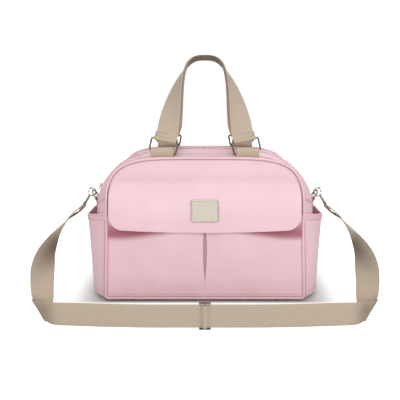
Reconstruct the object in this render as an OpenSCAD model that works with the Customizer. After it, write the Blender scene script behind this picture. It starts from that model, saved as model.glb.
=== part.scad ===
// Soft baby changing bag with a zipped top, flapped front pockets, side bottle pockets,
// two webbing handles on metal rings and a clip-on shoulder strap.
// Millimetres. The origin lies on the floor under the middle of the bag, the front faces -Y.

/* [Bag body] */
// Width of the front and back panels, between the piping
panel_w = 325; // [305:1:345]
// Height of the panels' top edge above the floor
panel_h = 245; // [232:1:256]
// Height at which the sides begin to round over
shoulder_z = 123; // [115:1:131]
// How far the panels' sides flare out from there down to the base
base_flare = 5; // [0:0.5:8]
// Depth of the bag at its base
depth_base = 184; // [170:1:200]
// Depth of the bag at its top edge
depth_top = 164; // [150:1:180]
// How far the side gussets swell past the panels
side_swell = 31; // [24:1:38]
// How far the zipped top swells above the panels
top_swell = 10; // [8:1:14]
// Thickness of the padded leatherette
skin = 2.4; // [1.6:0.1:3.2]
// Radius of the piping
piping_r = 2.4; // [1.6:0.1:3]
// Clearance between sewn pieces
gap = 0.3; // [0.2:0.05:0.5]

/* [Base] */
// Height of the feet
foot_h = 5; // [3:0.5:8]
// Radius of the feet
foot_r = 7; // [4:0.5:10]
// Distance of the feet from the middle, sideways
foot_x = 125; // [95:1:135]
// How far the feet's centres lie in from the front and back of the base
foot_in = 12; // [9:1:30]
// Thickness of the stiffening board
board_t = 3; // [2:0.5:4]
// Thickness of the lining
lining_t = 1; // [0.6:0.1:1.6]

/* [Zip] */
// Distance of the hinge seam in from the panels' top edge
seam_inset = 24; // [20:1:32]
// Width of the zip between the leatherette edges
zip_w = 15; // [12:1:20]
// Thickness of the zip tape
tape_t = 1; // [0.8:0.1:1.4]
// Height of the zip teeth
tooth_h = 1.8; // [1.4:0.1:2.4]
// Number of teeth in a row along the top
tooth_count = 44; // [30:1:60]

/* [Front pockets] */
// Height of the pocket mouths
pocket_top = 152; // [140:1:160]
// Swell of the pockets
pocket_swell = 14; // [8:1:18]
// Width of the pleat between the pockets
pleat_w = 7; // [4:1:10]
// Height of the flap's sewn edge
flap_top = 206; // [195:1:212]
// Length of the flap at its sides, down from its sewn edge
flap_l = 74; // [62:1:80]
// How much further the flap hangs down in its middle
flap_dip = 4.5; // [0:0.5:8]
// Width of the flap
flap_w = 318; // [280:1:322]
// Radius of the flap's lower corners
flap_corner = 22; // [12:1:30]
// Stand-off of the flap at its lower edge
flap_swell = 19; // [17:1:26]
// Radius of the magnetic snaps
snap_r = 8; // [5:0.5:9]
// Width of the name plate
plate_w = 46; // [36:1:54]
// Height of the name plate
plate_h = 36; // [28:1:40]
// Thickness of the name plate
plate_t = 1.6; // [1:0.1:2.5]

/* [Side pockets] */
// Height of the rim at its lowest
rim_z = 141; // [130:1:146]
// Rise of the rim towards the seams
rim_rise = 14; // [8:1:18]
// Swell of the pocket at its rim
rim_swell = 13; // [9:1:17]
// Swell of the pocket at its foot
foot_swell = 5; // [3:1:8]
// Height of the stitched hem
hem_h = 11; // [7:1:15]

/* [Webbing and rings] */
// Width of the webbing
web_w = 38; // [32:1:40]
// Thickness of the webbing
web_t = 1.6; // [1.2:0.1:2]
// Radius of the ring wire
wire_r = 1.6; // [1.2:0.1:1.9]
// Height of a handle ring, between its bars
ring_h = 21; // [17:0.5:24]
// Tilt of the handle rings
ring_tilt = 12; // [8:1:13]
// Distance of the handle rings from the middle
ring_x = 71; // [60:1:78]
// Distance of the handle pivots in from the panels' top edge
tab_inset = 13; // [11:0.5:16]
// Inner radius of the webbing tabs
tab_r = 6.4; // [6:0.1:7.5]
// Height of the handles above their pivots
handle_h = 162; // [140:1:185]
// Space left between the tops of the handles
handle_gap = 2.4; // [1.2:0.2:8]

/* [Shoulder strap hardware] */
// Radius of the D-rings
dee_r = 14.5; // [14:0.5:16]
// Height of the D-ring bars above the floor
dee_z = 165.5; // [162:0.5:169]
// Rise of the D-rings from the horizontal
dee_rise = 58; // [50:1:68]
// Radius of the hook's bow
hook_r = 7.2; // [6.6:0.1:8]
// Slope of the hooks below the horizontal
hook_slope = 57; // [50:1:62]
// Distance from the D-ring wire to the webbing bar
hook_l = 38; // [34:0.5:42]
// Width of the strap adjuster
adjuster_w = 18; // [14:1:24]

/* [Hidden] */
$fn = 48;

pink = "#e6bcc6";
pink_shade = "#cf97a4";
beige = "#c8b8a2";
cream = "#ddd5c6";
nickel = "#b9b7b0";

// Panel and gusset outlines

// Roundness of the panel outline and of the gusset's crest line
panel_n = 4.8;
crest_n = 2.9;
// Fullness of the gusset's plan: nearly square at the base, a plain bow at the crown
base_full = 4.3;
crown_full = 2.15;
// Share of the outline parameter that runs round the top
round_share = 0.7;
// Underside and upper side of the bottom panel
base_z = foot_h;
floor_z = base_z + skin;
// Lower edge of the panels, above the bottom piping
panel_z = base_z + 2 * piping_r + 2 * gap;
side_x = panel_w / 2;
crest_x = side_x + side_swell;
crest_z = panel_h + top_swell;

function lin(a, b, n) = [for (i = [0:n]) a + (b - a) * i / n];
function unit(v) = v / norm(v);
function mid(a, b) = (a + b) / 2;
function bow(c, n) = c <= 0 ? 0 : pow(c, 2 / n);
// Half depth of the bag at height z
function half_depth(z) = depth_base / 2 - (depth_base - depth_top) / 2 * (z - base_z) / (panel_h - base_z);
// Outline point [x, z] at u, from the left foot (-1) over the crown (0) to the right foot (1)
function outline(u, x1, z1, n, low, flare) =
    let (a = abs(u), s = sign(u), turn = 90 * (1 - a / round_share))
    a < round_share
        ? [s * x1 * bow(cos(turn), n), shoulder_z + (z1 - shoulder_z) * bow(sin(turn), n)]
        : let (down = (a - round_share) / (1 - round_share))
            [s * (x1 + flare * down), shoulder_z - (shoulder_z - low) * down];
function edge_line(u) = outline(u, side_x, panel_h, panel_n, floor_z + gap, base_flare);
function crest_line(u) = outline(u, crest_x, crest_z, crest_n, floor_z + gap, 0);
// Half width of the panel and of the crest at height z
function width_at(z, x1, z1, n) =
    z <= shoulder_z ? x1 : x1 * pow(1 - pow((z - shoulder_z) / (z1 - shoulder_z), n), 1 / n);
function panel_x(z) =
    width_at(z, side_x, panel_h, panel_n)
    + base_flare * max(shoulder_z - z, 0) / (shoulder_z - floor_z - gap);
// Share of the swell at a share v of the half depth, and how square that bow is at height z
function full(z) = base_full + (crown_full - base_full) * z / crest_z;
function swell_at(v, z) = 1 - pow(abs(v), full(z));
function gusset_x(z, v) =
    panel_x(z) + (width_at(z, crest_x, crest_z, crest_n) - panel_x(z)) * swell_at(v, z);
// Gusset surface: u runs round the outline, v from the front seam (-1) to the back seam (1)
gusset_at = function (u, v)
    let (e = edge_line(u), c = crest_line(u), b = swell_at(v, c[1]))
    [e[0] + (c[0] - e[0]) * b, v * half_depth(e[1]), e[1] + (c[1] - e[1]) * b];
// Share of the half depth that is left between the two panels
seam_v = 1 - (skin + gap) / (depth_top / 2);
// Outline parameter whose panel edge lies at half width x
function u_at(x) = round_share * (1 - acos(pow(x / side_x, panel_n / 2)) / 90);

// Closed sheets from grids of points

function flat(rows) = [for (r = rows) for (p = r) p];
function cell(a, b, c, d) = [[a, b, c], [a, c, d]];
function sheet_faces(m, n) =
    let (k = m * n)
    concat(
        [for (i = [0:m - 2]) for (j = [0:n - 2])
            each cell(i * n + j, i * n + j + 1, (i + 1) * n + j + 1, (i + 1) * n + j)],
        [for (i = [0:m - 2]) for (j = [0:n - 2])
            each cell(k + i * n + j, k + (i + 1) * n + j, k + (i + 1) * n + j + 1, k + i * n + j + 1)],
        [for (i = [0:m - 2]) each cell(i * n, (i + 1) * n, k + (i + 1) * n, k + i * n)],
        [for (i = [0:m - 2])
            each cell(i * n + n - 1, k + i * n + n - 1, k + (i + 1) * n + n - 1, (i + 1) * n + n - 1)],
        [for (j = [0:n - 2]) each cell(j, k + j, k + j + 1, j + 1)],
        [for (j = [0:n - 2])
            each cell((m - 1) * n + j, (m - 1) * n + j + 1, k + (m - 1) * n + j + 1, k + (m - 1) * n + j)]
    );
function total(list, i = 0, s = 0) = i == len(list) ? s : total(list, i + 1, s + list[i]);
function volume(p, faces) = total([for (f = faces) p[f[0]] * cross(p[f[1]], p[f[2]])]);
// Faces in the order that turns the solid the right way out
function outward(p, faces) = volume(p, faces) < 0 ? faces : [for (f = faces) [f[2], f[1], f[0]]];
module solid(p, faces) {
    polyhedron(p, outward(p, faces), convexity = 8);
}
module sheet(outer, inner) {
    solid(concat(flat(outer), flat(inner)), sheet_faces(len(outer), len(outer[0])));
}
// Unit normal of the surface f at (u, v); its side follows the order of the two parameters
function normal_at(f, u, v, step) =
    unit(cross(f(u + step, v) - f(u - step, v), f(u, v + step) - f(u, v - step)));
function offset_grid(f, us, vs, rise, step) =
    [for (u = us) [for (v = vs) f(u, v) + rise * normal_at(f, u, v, step)]];
// Sheet of the surface f between two heights above it
module skin_of(f, us, vs, low, high, step = 0.001) {
    sheet(offset_grid(f, us, vs, low, step), offset_grid(f, us, vs, high, step));
}
// Tube round a closed loop of stations, each [centre, outward direction]; the other axis is Y
module loop_tube(stations, r, sides) {
    m = len(stations);
    p = [for (s = stations) for (k = [0:sides - 1])
        s[0] + r * (cos(360 * k / sides) * s[1] + sin(360 * k / sides) * [0, 1, 0])];
    solid(p, [for (i = [0:m - 1]) for (k = [0:sides - 1])
        let (i2 = (i + 1) % m, k2 = (k + 1) % sides)
        each cell(i * sides + k, i * sides + k2, i2 * sides + k2, i2 * sides + k)]);
}
// Flat band through stations, each [centre, half-width vector]
module band(stations, t) {
    n = len(stations);
    along = [for (i = [0:n - 1]) unit(stations[min(i + 1, n - 1)][0] - stations[max(i - 1, 0)][0])];
    up = [for (i = [0:n - 1]) unit(cross(along[i], stations[i][1])) * t / 2];
    edges = [for (s = stations) [s[0] - s[1], s[0] + s[1]]];
    sheet(
        [for (i = [0:n - 1]) [edges[i][0] + up[i], edges[i][1] + up[i]]],
        [for (i = [0:n - 1]) [edges[i][0] - up[i], edges[i][1] - up[i]]]
    );
}
module both_ways(back) {
    if (back) mirror([0, 1, 0]) children();
    else children();
}
module either_side(right) {
    if (right) mirror([1, 0, 0]) children();
    else children();
}

// The front stands out further than the back, so the origin lies half way between the two
front_reach = half_depth(shoulder_z) + gap + skin + flap_swell + plate_t;
back_reach = half_depth(base_z) + 1.5 * piping_r;
module placed() {
    translate([0, (front_reach - back_reach) / 2, 0]) children();
}

// Body panels

first_turn = 9;
panel_rows = concat(
    lin(panel_z, shoulder_z, 3),
    [for (a = lin(first_turn, 90 - first_turn, 9)) edge_line(round_share * (1 - a / 90))[1]]
);
// Panel surface at a share s of its half width and height z; the front panel lies on the -Y side
panel_at = function (s, z) [s * panel_x(z), -half_depth(z), z];
module panel() {
    rows = concat(panel_rows, [panel_h - gap]);
    columns = lin(-1, 1, 8);
    sheet(
        [for (z = rows) [for (s = columns) panel_at(s, z)]],
        [for (z = rows) [for (s = columns) panel_at(s, z) + [0, skin, 0]]]
    );
}
module front_panel() { placed() color(pink) panel(); }
module back_panel() { placed() color(pink) mirror([0, 1, 0]) panel(); }

// The cord-filled piping runs just outside the panel's edge, all the way round
piping_out = piping_r + 2 * gap;
module piping() {
    top = [for (u = lin(-round_share, round_share, 28))
        let (
            e = edge_line(u),
            d = edge_line(u + 0.002) - edge_line(u - 0.002),
            out = unit([-d[1], 0, d[0]])
        )
        [[e[0], -half_depth(e[1]) - piping_r / 2, e[1]] + piping_out * out, out]];
    low = panel_z - piping_out;
    front_y = -half_depth(low) - piping_r / 2;
    foot_side = panel_x(panel_z);
    right = [[foot_side + piping_out, front_y, low + 2 * piping_r], [1, 0, 0]];
    corner = [[foot_side, front_y, low], unit([1, 0, -1])];
    feet = [for (s = [1, -0.5, -1])
        [[s * (foot_side - 2 * piping_r), front_y, low], [0, 0, -1]]];
    turned = [[-foot_side, front_y, low], unit([-1, 0, -1])];
    left = [[-foot_side - piping_out, front_y, low + 2 * piping_r], [-1, 0, 0]];
    loop_tube(concat(top, [right, corner], feet, [turned, left]), piping_r, 8);
}
module front_piping() { placed() color(pink_shade) piping(); }
module back_piping() { placed() color(pink_shade) mirror([0, 1, 0]) piping(); }

// Side gussets reach from the base up to the ends of the zip
zip_end_z = 166;
// Outline parameter at which the crest line lies at height z
function u_up(z) = round_share * (1 - asin(pow((z - shoulder_z) / (crest_z - shoulder_z), crest_n / 2)) / 90);
zip_end_u = u_up(zip_end_z);
across = [for (a = lin(-90, 90, 14)) seam_v * sin(a)];
module gusset() {
    color(pink) skin_of(gusset_at, lin(-1, -zip_end_u, 9), across, 0, -skin);
}
module gusset_left() { placed() gusset(); }
module gusset_right() { placed() mirror([1, 0, 0]) gusset(); }

// Bottom panel, with the gussets' swell in its plan
base_v = 1 - (gap + piping_r) / (depth_base / 2);
base_vs = [for (a = lin(-90, 90, 14)) base_v * sin(a)];
function base_at(s, v, z) = [s * gusset_x(floor_z, v), v * half_depth(base_z), z];
module bottom_panel() {
    placed() color(pink_shade) sheet(
        [for (v = base_vs) [for (s = [-1, 0, 1]) base_at(s, v, base_z)]],
        [for (v = base_vs) [for (s = [-1, 0, 1]) base_at(s, v, floor_z)]]
    );
}
board_z = floor_z + gap;
board_corner = 20;
foot_row = depth_base / 2 - foot_in;
board_x = side_x - skin - 6 * gap;
board_y = half_depth(board_z) - skin - 4 * gap;
module base_board() {
    placed() color("dimgray") translate([0, 0, board_z]) linear_extrude(board_t) union() {
        square([2 * board_x, 2 * (board_y - board_corner)], center = true);
        square([2 * (board_x - board_corner), 2 * board_y], center = true);
        for (x = [-1, 1], y = [-1, 1]) translate([x * (board_x - board_corner), y * (board_y - board_corner)])
            circle(board_corner);
    }
}
module base_feet() {
    placed() color("silver") for (x = [-1, 1], y = [-1, 1]) translate([x * foot_x, y * foot_row, 0]) {
        cylinder(h = foot_h - foot_r / 7, r1 = foot_r * 0.8, r2 = foot_r);
        translate([0, 0, foot_h - foot_r / 7]) cylinder(h = foot_r / 7, r = foot_r);
    }
}

// Lining: an open cup that follows the inside of the shell
lining_z = board_z + board_t + gap;
// The cup stops below the zip's ends
lining_drop = 8;
lining_h = zip_end_z - lining_drop;
function ring_at(z, inset) =
    let (y1 = half_depth(z) - inset, x1 = panel_x(z) - inset, vs = lin(-0.8, 0.8, 4))
    concat(
        [for (s = lin(-0.8, 0.8, 4)) [s * x1, -y1, z]],
        [for (v = vs) [gusset_x(z, v) - inset, v * y1, z]],
        [for (s = lin(0.8, -0.8, 4)) [s * x1, y1, z]],
        [for (v = vs) [-gusset_x(z, v) + inset, -v * y1, z]]
    );
module lining() {
    inset = skin + 2 * gap;
    levels = concat([lining_z], lin(shoulder_z, lining_h, 3));
    outer = [for (z = levels) ring_at(z, inset)];
    inner = [for (z = levels) ring_at(max(z, lining_z + lining_t), inset + lining_t)];
    n = len(outer[0]);
    m = len(levels);
    k = m * n;
    p = concat(flat(outer), flat(inner), [[0, 0, lining_z], [0, 0, lining_z + lining_t]]);
    faces = concat(
        [for (i = [0:m - 2]) for (j = [0:n - 1]) let (j2 = (j + 1) % n)
            each cell(i * n + j, i * n + j2, (i + 1) * n + j2, (i + 1) * n + j)],
        [for (i = [0:m - 2]) for (j = [0:n - 1]) let (j2 = (j + 1) % n)
            each cell(k + i * n + j, k + (i + 1) * n + j, k + (i + 1) * n + j2, k + i * n + j2)],
        [for (j = [0:n - 1]) let (j2 = (j + 1) % n, t = (m - 1) * n)
            each cell(t + j, t + j2, k + t + j2, k + t + j)],
        [for (j = [0:n - 1]) [2 * k, (j + 1) % n, j]],
        [for (j = [0:n - 1]) [2 * k + 1, k + j, k + (j + 1) % n]]
    );
    placed() color("whitesmoke") solid(p, faces);
}

// Zipped top. Two leaves open along the crown; fixed strips frame them and run down the shoulders.

leaf_x = 118;
leaf_u = u_at(leaf_x);
end_gap = 0.005;
top_depth = depth_top / 2;
seam_y = top_depth - seam_inset;
seam_in = seam_y / top_depth;
zip_v = zip_w / 2 / top_depth;
leaf_us = lin(-leaf_u + end_gap, leaf_u - end_gap, 16);
// Hinge height: level with the highest point of the leaf's sewn edge
leaf_hinge_z = gusset_at(0, -seam_in)[2] + gap;
// Inner edge of the fixed strip: the zip's edge on the shoulders, the leaf's seam along the crown
function strip_in(u) = abs(u) < leaf_u - end_gap / 4 ? seam_in : zip_v;
shoulder_us = lin(-zip_end_u + end_gap / 4, -leaf_u, 7);
strip_us = concat(
    shoulder_us,
    lin(-leaf_u + end_gap / 2, leaf_u - end_gap / 2, 16),
    lin(leaf_u, zip_end_u - end_gap / 4, 7)
);
function strip_rows(rise) =
    [for (u = strip_us) [for (t = lin(0, 1, 5))
        let (v = -seam_v + t * (seam_v - strip_in(u)))
        gusset_at(u, v) + rise * normal_at(gusset_at, u, v, 0.001)]];
module zip_panel() {
    color(pink) sheet(strip_rows(0), strip_rows(-skin));
}
module zip_panel_front() { placed() zip_panel(); }
module zip_panel_back() { placed() mirror([0, 1, 0]) zip_panel(); }
leaf_edge = seam_in - gap / top_depth;
module zip_flap() {
    color(pink) skin_of(gusset_at, leaf_us, lin(-leaf_edge, -zip_v, 5), 0, -skin);
}
module zip_flap_front() { placed() zip_flap(); }
module zip_flap_back() { placed() mirror([0, 1, 0]) zip_flap(); }
// Tape under the leatherette's edge; its own edge stops short of the middle
tape_rise = -skin - gap;
tape_short = 1.2;
tape_hold = 8;
tape_in = tape_short / top_depth;
tape_out = zip_v + tape_hold / top_depth;
module zip_tape() {
    color(pink_shade) skin_of(gusset_at, leaf_us, lin(-tape_out, -tape_in, 3), tape_rise, tape_rise - tape_t);
}
module zip_tape_front() { placed() zip_tape(); }
module zip_tape_back() { placed() mirror([0, 1, 0]) zip_tape(); }
// One tooth: a block on the tape between two outline places, low at the tape and gripping its edge
module tooth(u1, u2, v1, v2) {
    skin_of(gusset_at, [u1, u2], [v1, v2], tape_rise + gap / 2, tape_rise + tooth_h);
}
tooth_step = 2 * (leaf_u - end_gap) / tooth_count;
tooth_reach = 4.2;
tooth_v = tooth_reach / top_depth;
module zip_teeth(shift) {
    color("gainsboro") for (i = [0:tooth_count - 2]) {
        u = -leaf_u + end_gap + (i + 0.1 + shift) * tooth_step;
        tooth(u, u + 0.42 * tooth_step, -tooth_v, -tape_in);
    }
}
module zip_teeth_front() { placed() zip_teeth(0); }
module zip_teeth_back() { placed() mirror([0, 1, 0]) zip_teeth(0.5); }
// The zip's closed ends over the shoulders
module shoulder_tape() {
    color(pink_shade)
        skin_of(gusset_at, shoulder_us, lin(-tape_out, tape_out, 4), tape_rise, tape_rise - tape_t);
}
module zip_tape_left() { placed() shoulder_tape(); }
module zip_tape_right() { placed() mirror([1, 0, 0]) shoulder_tape(); }
shoulder_teeth = 18;
module shoulder_row() {
    step = (zip_end_u - leaf_u) / shoulder_teeth;
    color("gainsboro") for (i = [3:shoulder_teeth - 1]) {
        u = -zip_end_u + (i + 0.1) * step;
        tooth(u, u + 0.55 * step, -tooth_v, tooth_v);
    }
}
module zip_teeth_left() { placed() shoulder_row(); }
module zip_teeth_right() { placed() mirror([1, 0, 0]) shoulder_row(); }

// Zip slider, parked at the left end. It runs on the arc through three places on the shoulder.
function circle_through(a, b, c) =
    let (
        d = 2 * (a[0] * (b[1] - c[1]) + b[0] * (c[1] - a[1]) + c[0] * (a[1] - b[1])),
        a2 = a * a, b2 = b * b, c2 = c * c
    )
    [(a2 * (b[1] - c[1]) + b2 * (c[1] - a[1]) + c2 * (a[1] - b[1])) / d,
        (a2 * (c[0] - b[0]) + b2 * (a[0] - c[0]) + c2 * (b[0] - a[0])) / d];
// The slider parks clear of the ring tab below it
park_rise = 22;
park_z = dee_z + park_rise;
park_u = -u_up(park_z);
slider_c = circle_through(crest_line(park_u), crest_line(mid(park_u, -leaf_u)), crest_line(-leaf_u));
park = crest_line(park_u);
slider_out = unit(park - slider_c);
slider_turn = atan2(slider_out[0], slider_out[1]);
slider_rise = tape_rise + tooth_h + 0.8;
slider_l = 9;
slider_w = 8;
slider_t = 1.6;
bridge_h = 5;
pin_r = 0.9;
// Frame on the gusset: X along the zip towards its right end, Z straight out of it
module on_slider() {
    translate([park[0], 0, park[1]]) rotate([0, slider_turn, 0]) children();
}
module zip_slider() {
    placed() color(nickel) on_slider() {
        translate([-slider_l / 2, -slider_w / 2, slider_rise]) cube([slider_l, slider_w, slider_t]);
        for (x = [-1, 1]) translate([x * (slider_l / 2 - 1.6) - 0.9, -1.2, slider_rise + slider_t])
            cube([1.8, 2.4, bridge_h - 1]);
        translate([-slider_l / 2 + 0.7, -1.2, slider_rise + slider_t + bridge_h - 1.8])
            cube([slider_l - 1.4, 2.4, 1.8]);
    }
}
puller_l = 11;
puller_w = 6;
puller_z = slider_rise + slider_t + pin_r + 0.6;
puller_lift = 8;
module zip_puller() {
    placed() color(nickel) on_slider() translate([0, 0, puller_z]) rotate([0, puller_lift, 0]) {
        rotate([90, 0, 0]) cylinder(h = puller_w, r = pin_r, center = true);
        for (y = [-1, 1]) translate([-slider_l * 0.7, y * (puller_w / 2 - 0.6) - 0.6, -pin_r])
            cube([slider_l * 0.7, 1.2, 2 * pin_r]);
        translate([-puller_l, -puller_w / 2, -pin_r]) cube([puller_l - slider_l * 0.7, puller_w, 2 * pin_r]);
    }
}

// Front pockets, flap and plate

pocket_rows = lin(panel_z + piping_out, pocket_top, 8);
function pocket_side(z) = panel_x(z) - 2 * gap;
function ease(t) = let (c = min(max(t, 0), 1)) c * c * (3 - 2 * c);
// Lengths over which the pocket rises from its side seam and from the pleat
pocket_ease = 110;
pleat_ease = 26;
// Stand-off of the pocket from the panel at distance x from the middle and height z
function pocket_off(x, z) =
    pocket_swell * pow(ease((pocket_side(z) - x) / pocket_ease), 0.8)
    * (1 - pow((pocket_top - z) / (pocket_top - pocket_rows[0]), 2))
    * (0.72 + 0.28 * ease((x - pleat_w / 2) / pleat_ease));
pocket_at = function (x, z) [x, -half_depth(z) - gap - skin - pocket_off(x, z), z];
// Half width of the slit between the pockets: widest half way up, drawn in at the mouth, closed at the foot
pleat_foot = 28;
pleat_close = 0.6;
function slit(z) =
    let (t = 2 * (z - pleat_foot) / (pocket_top - pleat_foot))
    gap / 2 + (pleat_w / 2 - gap / 2) * (ease(t) - pleat_close * ease(t - 1));
function pocket_columns(z) = lin(slit(z), pocket_side(z), 14);
module front_pocket() {
    color(pink) sheet(
        [for (z = pocket_rows) [for (x = pocket_columns(z)) pocket_at(x, z)]],
        [for (z = pocket_rows) [for (x = pocket_columns(z)) pocket_at(x, z) + [0, skin, 0]]]
    );
}
module front_pocket_left() { placed() mirror([1, 0, 0]) front_pocket(); }
module front_pocket_right() { placed() front_pocket(); }
// The pleat's folded strip behind the slit between the pockets
pleat_reach = 14;
pleat_t = 1;
pleat_rows = [for (i = [1:8]) pocket_rows[i]];
pleat_sink = [0, 0.8, 2.2, 0.8, 0];
function pleat_at(i, z, rise) =
    let (x = (i - 2) * pleat_reach / 2, room = pocket_off(max(abs(x), slit(z)), z) - pleat_t - gap)
    [x, -half_depth(z) - gap - max(room - pleat_sink[i], 0) - rise, z];
module pocket_pleat() {
    placed() color(pink_shade) sheet(
        [for (z = pleat_rows) [for (i = [0:4]) pleat_at(i, z, pleat_t)]],
        [for (z = pleat_rows) [for (i = [0:4]) pleat_at(i, z, 0)]]
    );
}
// Flap surface at x and a distance w down from its sewn edge
flap_drop = flap_l + flap_dip;
function flap_off(x, w) =
    let (t = w / flap_drop, rise = 1 - pow(1 - t, 2.6))
    gap + skin + flap_swell * rise * (1 - 0.2 * pow(2 * x / flap_w, 2));
flap_at = function (x, w) [x, -half_depth(flap_top - w) - flap_off(x, w), flap_top - w];
// Length of the flap at x, shorter in the rounded corners
function flap_end(x) =
    let (
        over = max(abs(x) - (flap_w / 2 - flap_corner), 0),
        whole = flap_drop - flap_dip * pow(2 * x / flap_w, 2)
    )
    whole - flap_corner + sqrt(max(pow(flap_corner, 2) - over * over, 0));
flap_columns = concat(
    [for (a = lin(90, 0, 6)) -(flap_w / 2 - flap_corner) - flap_corner * sin(a)],
    lin(-(flap_w / 2 - flap_corner), flap_w / 2 - flap_corner, 8),
    [for (a = lin(0, 90, 6)) flap_w / 2 - flap_corner + flap_corner * sin(a)]
);
// The flap narrows with the panel towards its sewn edge
function flap_point(x, w) = flap_at(x * min(1, (panel_x(flap_top - w) - 6 * gap) / (flap_w / 2)), w);
module pocket_flap() {
    shares = [0, 0.06, 0.14, 0.26, 0.42, 0.6, 0.8, 1];
    placed() color(pink) sheet(
        [for (x = flap_columns) [for (s = shares) flap_point(x, s * flap_end(x))]],
        [for (x = flap_columns) [for (s = shares) flap_point(x, s * flap_end(x)) + [0, skin, 0]]]
    );
}
snap_x = 78;
snap_drop = 6;
snap_z = pocket_top - snap_drop;
snap_t = 1.3;
snap_sink = 0.6;
snap_pocket_y = pocket_at(snap_x, snap_z)[1];
snap_flap_y = flap_at(snap_x, flap_top - snap_z)[1] + skin;
module snap_pair(y, h) {
    for (s = [-1, 1]) translate([s * snap_x, y, snap_z]) rotate([90, 0, 0])
        cylinder(h = h, r = snap_r, center = true);
}
// Each disc is let into the face behind it
module snap_sockets() {
    placed() color("silver") snap_pair(snap_pocket_y, 2 * snap_t);
}
module flap_snaps() {
    placed() color("silver") snap_pair(snap_flap_y + (snap_t - snap_sink) / 2, snap_t + snap_sink);
}
plate_w0 = 42.5;
plate_corner = 3;
plate_c = flap_at(0, plate_w0);
plate_chord = flap_at(0, plate_w0 + plate_h / 2) - flap_at(0, plate_w0 - plate_h / 2);
plate_lean = atan2(-plate_chord[1], -plate_chord[2]);
module name_plate() {
    placed() color(cream) translate(plate_c) rotate([90 - plate_lean, 0, 0])
    translate([0, 0, gap]) linear_extrude(plate_t) {
        square([plate_w, plate_h - 2 * plate_corner], center = true);
        square([plate_w - 2 * plate_corner, plate_h], center = true);
        for (x = [-1, 1], y = [-1, 1])
            translate([x * (plate_w / 2 - plate_corner), y * (plate_h / 2 - plate_corner)])
                circle(plate_corner);
    }
}

// Side pockets

side_low = floor_z + 2 * gap;
// Fullness of the pocket's plan
pocket_full = 4.2;
function rim_at(v) = rim_z + rim_rise * v * v;
function side_off(z, v) =
    let (swell = foot_swell + (rim_swell - foot_swell) * (z - side_low) / (rim_z - side_low))
    gap + skin + swell * (1 - pow(abs(v) / seam_v, pocket_full));
side_at = function (t, v)
    let (z = side_low + t * (rim_at(v) - side_low)) [-gusset_x(z, v) - side_off(z, v), v * half_depth(z), z];
module side_pocket() {
    levels = lin(0, 1, 8);
    color(pink) sheet(
        [for (t = levels) [for (v = across) side_at(t, v)]],
        [for (t = levels) [for (v = across) side_at(t, v) + [skin, 0, 0]]]
    );
}
module side_pocket_left() { placed() side_pocket(); }
module side_pocket_right() { placed() mirror([1, 0, 0]) side_pocket(); }
hem_t = 1;
module side_hem() {
    levels = [1 - hem_h / (rim_z - side_low), 1];
    color(pink_shade) sheet(
        [for (t = levels) [for (v = across) side_at(t, v) - [gap / 3, 0, 0]]],
        [for (t = levels) [for (v = across) side_at(t, v) - [gap / 3 + hem_t, 0, 0]]]
    );
}
module side_hem_left() { placed() side_hem(); }
module side_hem_right() { placed() mirror([1, 0, 0]) side_hem(); }

// Handles. Each turns about the line through its two webbing tabs.

tab_y = top_depth - tab_inset;
// The tabs stand on the zip panel at its highest place under them
tab_u = u_at(ring_x - web_w / 2);
tab_ground = gusset_at(tab_u, -tab_y / half_depth(panel_h))[2];
tab_wall = web_t;
pivot_z = tab_ground + tab_r + tab_wall + 1.5 * gap;
skirt_d = 4;
module handle_tab() {
    color(beige) translate([-ring_x - web_w / 2, -tab_y, pivot_z]) rotate([90, 0, 90]) linear_extrude(web_w)
        difference() {
            union() {
                circle(tab_r + tab_wall);
                translate([-tab_r - tab_wall, -tab_r - tab_wall]) square([tab_r + tab_wall, tab_r + tab_wall]);
            }
            circle(tab_r);
        }
}
module handle_tab_front_left() { placed() handle_tab(); }
module handle_tab_front_right() { placed() mirror([1, 0, 0]) handle_tab(); }
module handle_tab_back_left() { placed() mirror([0, 1, 0]) handle_tab(); }
module handle_tab_back_right() { placed() mirror([0, 1, 0]) mirror([1, 0, 0]) handle_tab(); }

// Rounded wire rectangle in the XZ plane; its lower bar lies on the X axis
module wire_frame(w, h, r, corner) {
    for (z = [0, h]) translate([0, 0, z]) rotate([0, 90, 0]) cylinder(h = w - 2 * corner, r = r, center = true);
    for (x = [-1, 1]) translate([x * w / 2, 0, corner]) cylinder(h = h - 2 * corner, r = r);
    for (x = [-1, 1], z = [0, 1])
        translate([x * (w / 2 - corner), 0, z == 0 ? corner : h - corner]) rotate([90, 0, 0])
            rotate([0, 0, z == 0 ? (x < 0 ? 180 : 270) : (x < 0 ? 90 : 0)])
                rotate_extrude(angle = 90) translate([corner, 0]) circle(r);
}
ring_w = web_w + 2 * wire_r + 3.6;
ring_corner = 3.5;
// Lean at which the tops of the two handles nearly meet
handle_lean = asin((tab_y - web_w / 2 - handle_gap / 2) / handle_h);
// Upright frame of a handle: origin on its pivot line, leaning in towards the other handle
module on_handle() {
    translate([0, -tab_y, pivot_z]) rotate([-handle_lean, 0, 0]) children();
}
module handle_ring() {
    color(nickel) on_handle() translate([-ring_x, 0, 0]) rotate([0, ring_tilt, 0])
        wire_frame(ring_w, ring_h, wire_r, ring_corner);
}
module handle_ring_front_left() { placed() handle_ring(); }
module handle_ring_front_right() { placed() mirror([1, 0, 0]) handle_ring(); }
module handle_ring_back_left() { placed() mirror([0, 1, 0]) handle_ring(); }
module handle_ring_back_right() { placed() mirror([0, 1, 0]) mirror([1, 0, 0]) handle_ring(); }

// Handle webbing: an elliptic arch that twists a quarter turn on its way up, looped round the rings
loop_r = wire_r + gap + web_t / 2;
bar_x = -ring_x + ring_h * sin(ring_tilt);
bar_z = ring_h * cos(ring_tilt);
ring_up = [sin(ring_tilt), 0, cos(ring_tilt)];
ring_along = [cos(ring_tilt), 0, -sin(ring_tilt)];
handle_x = -bar_x - 1.5;
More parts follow.
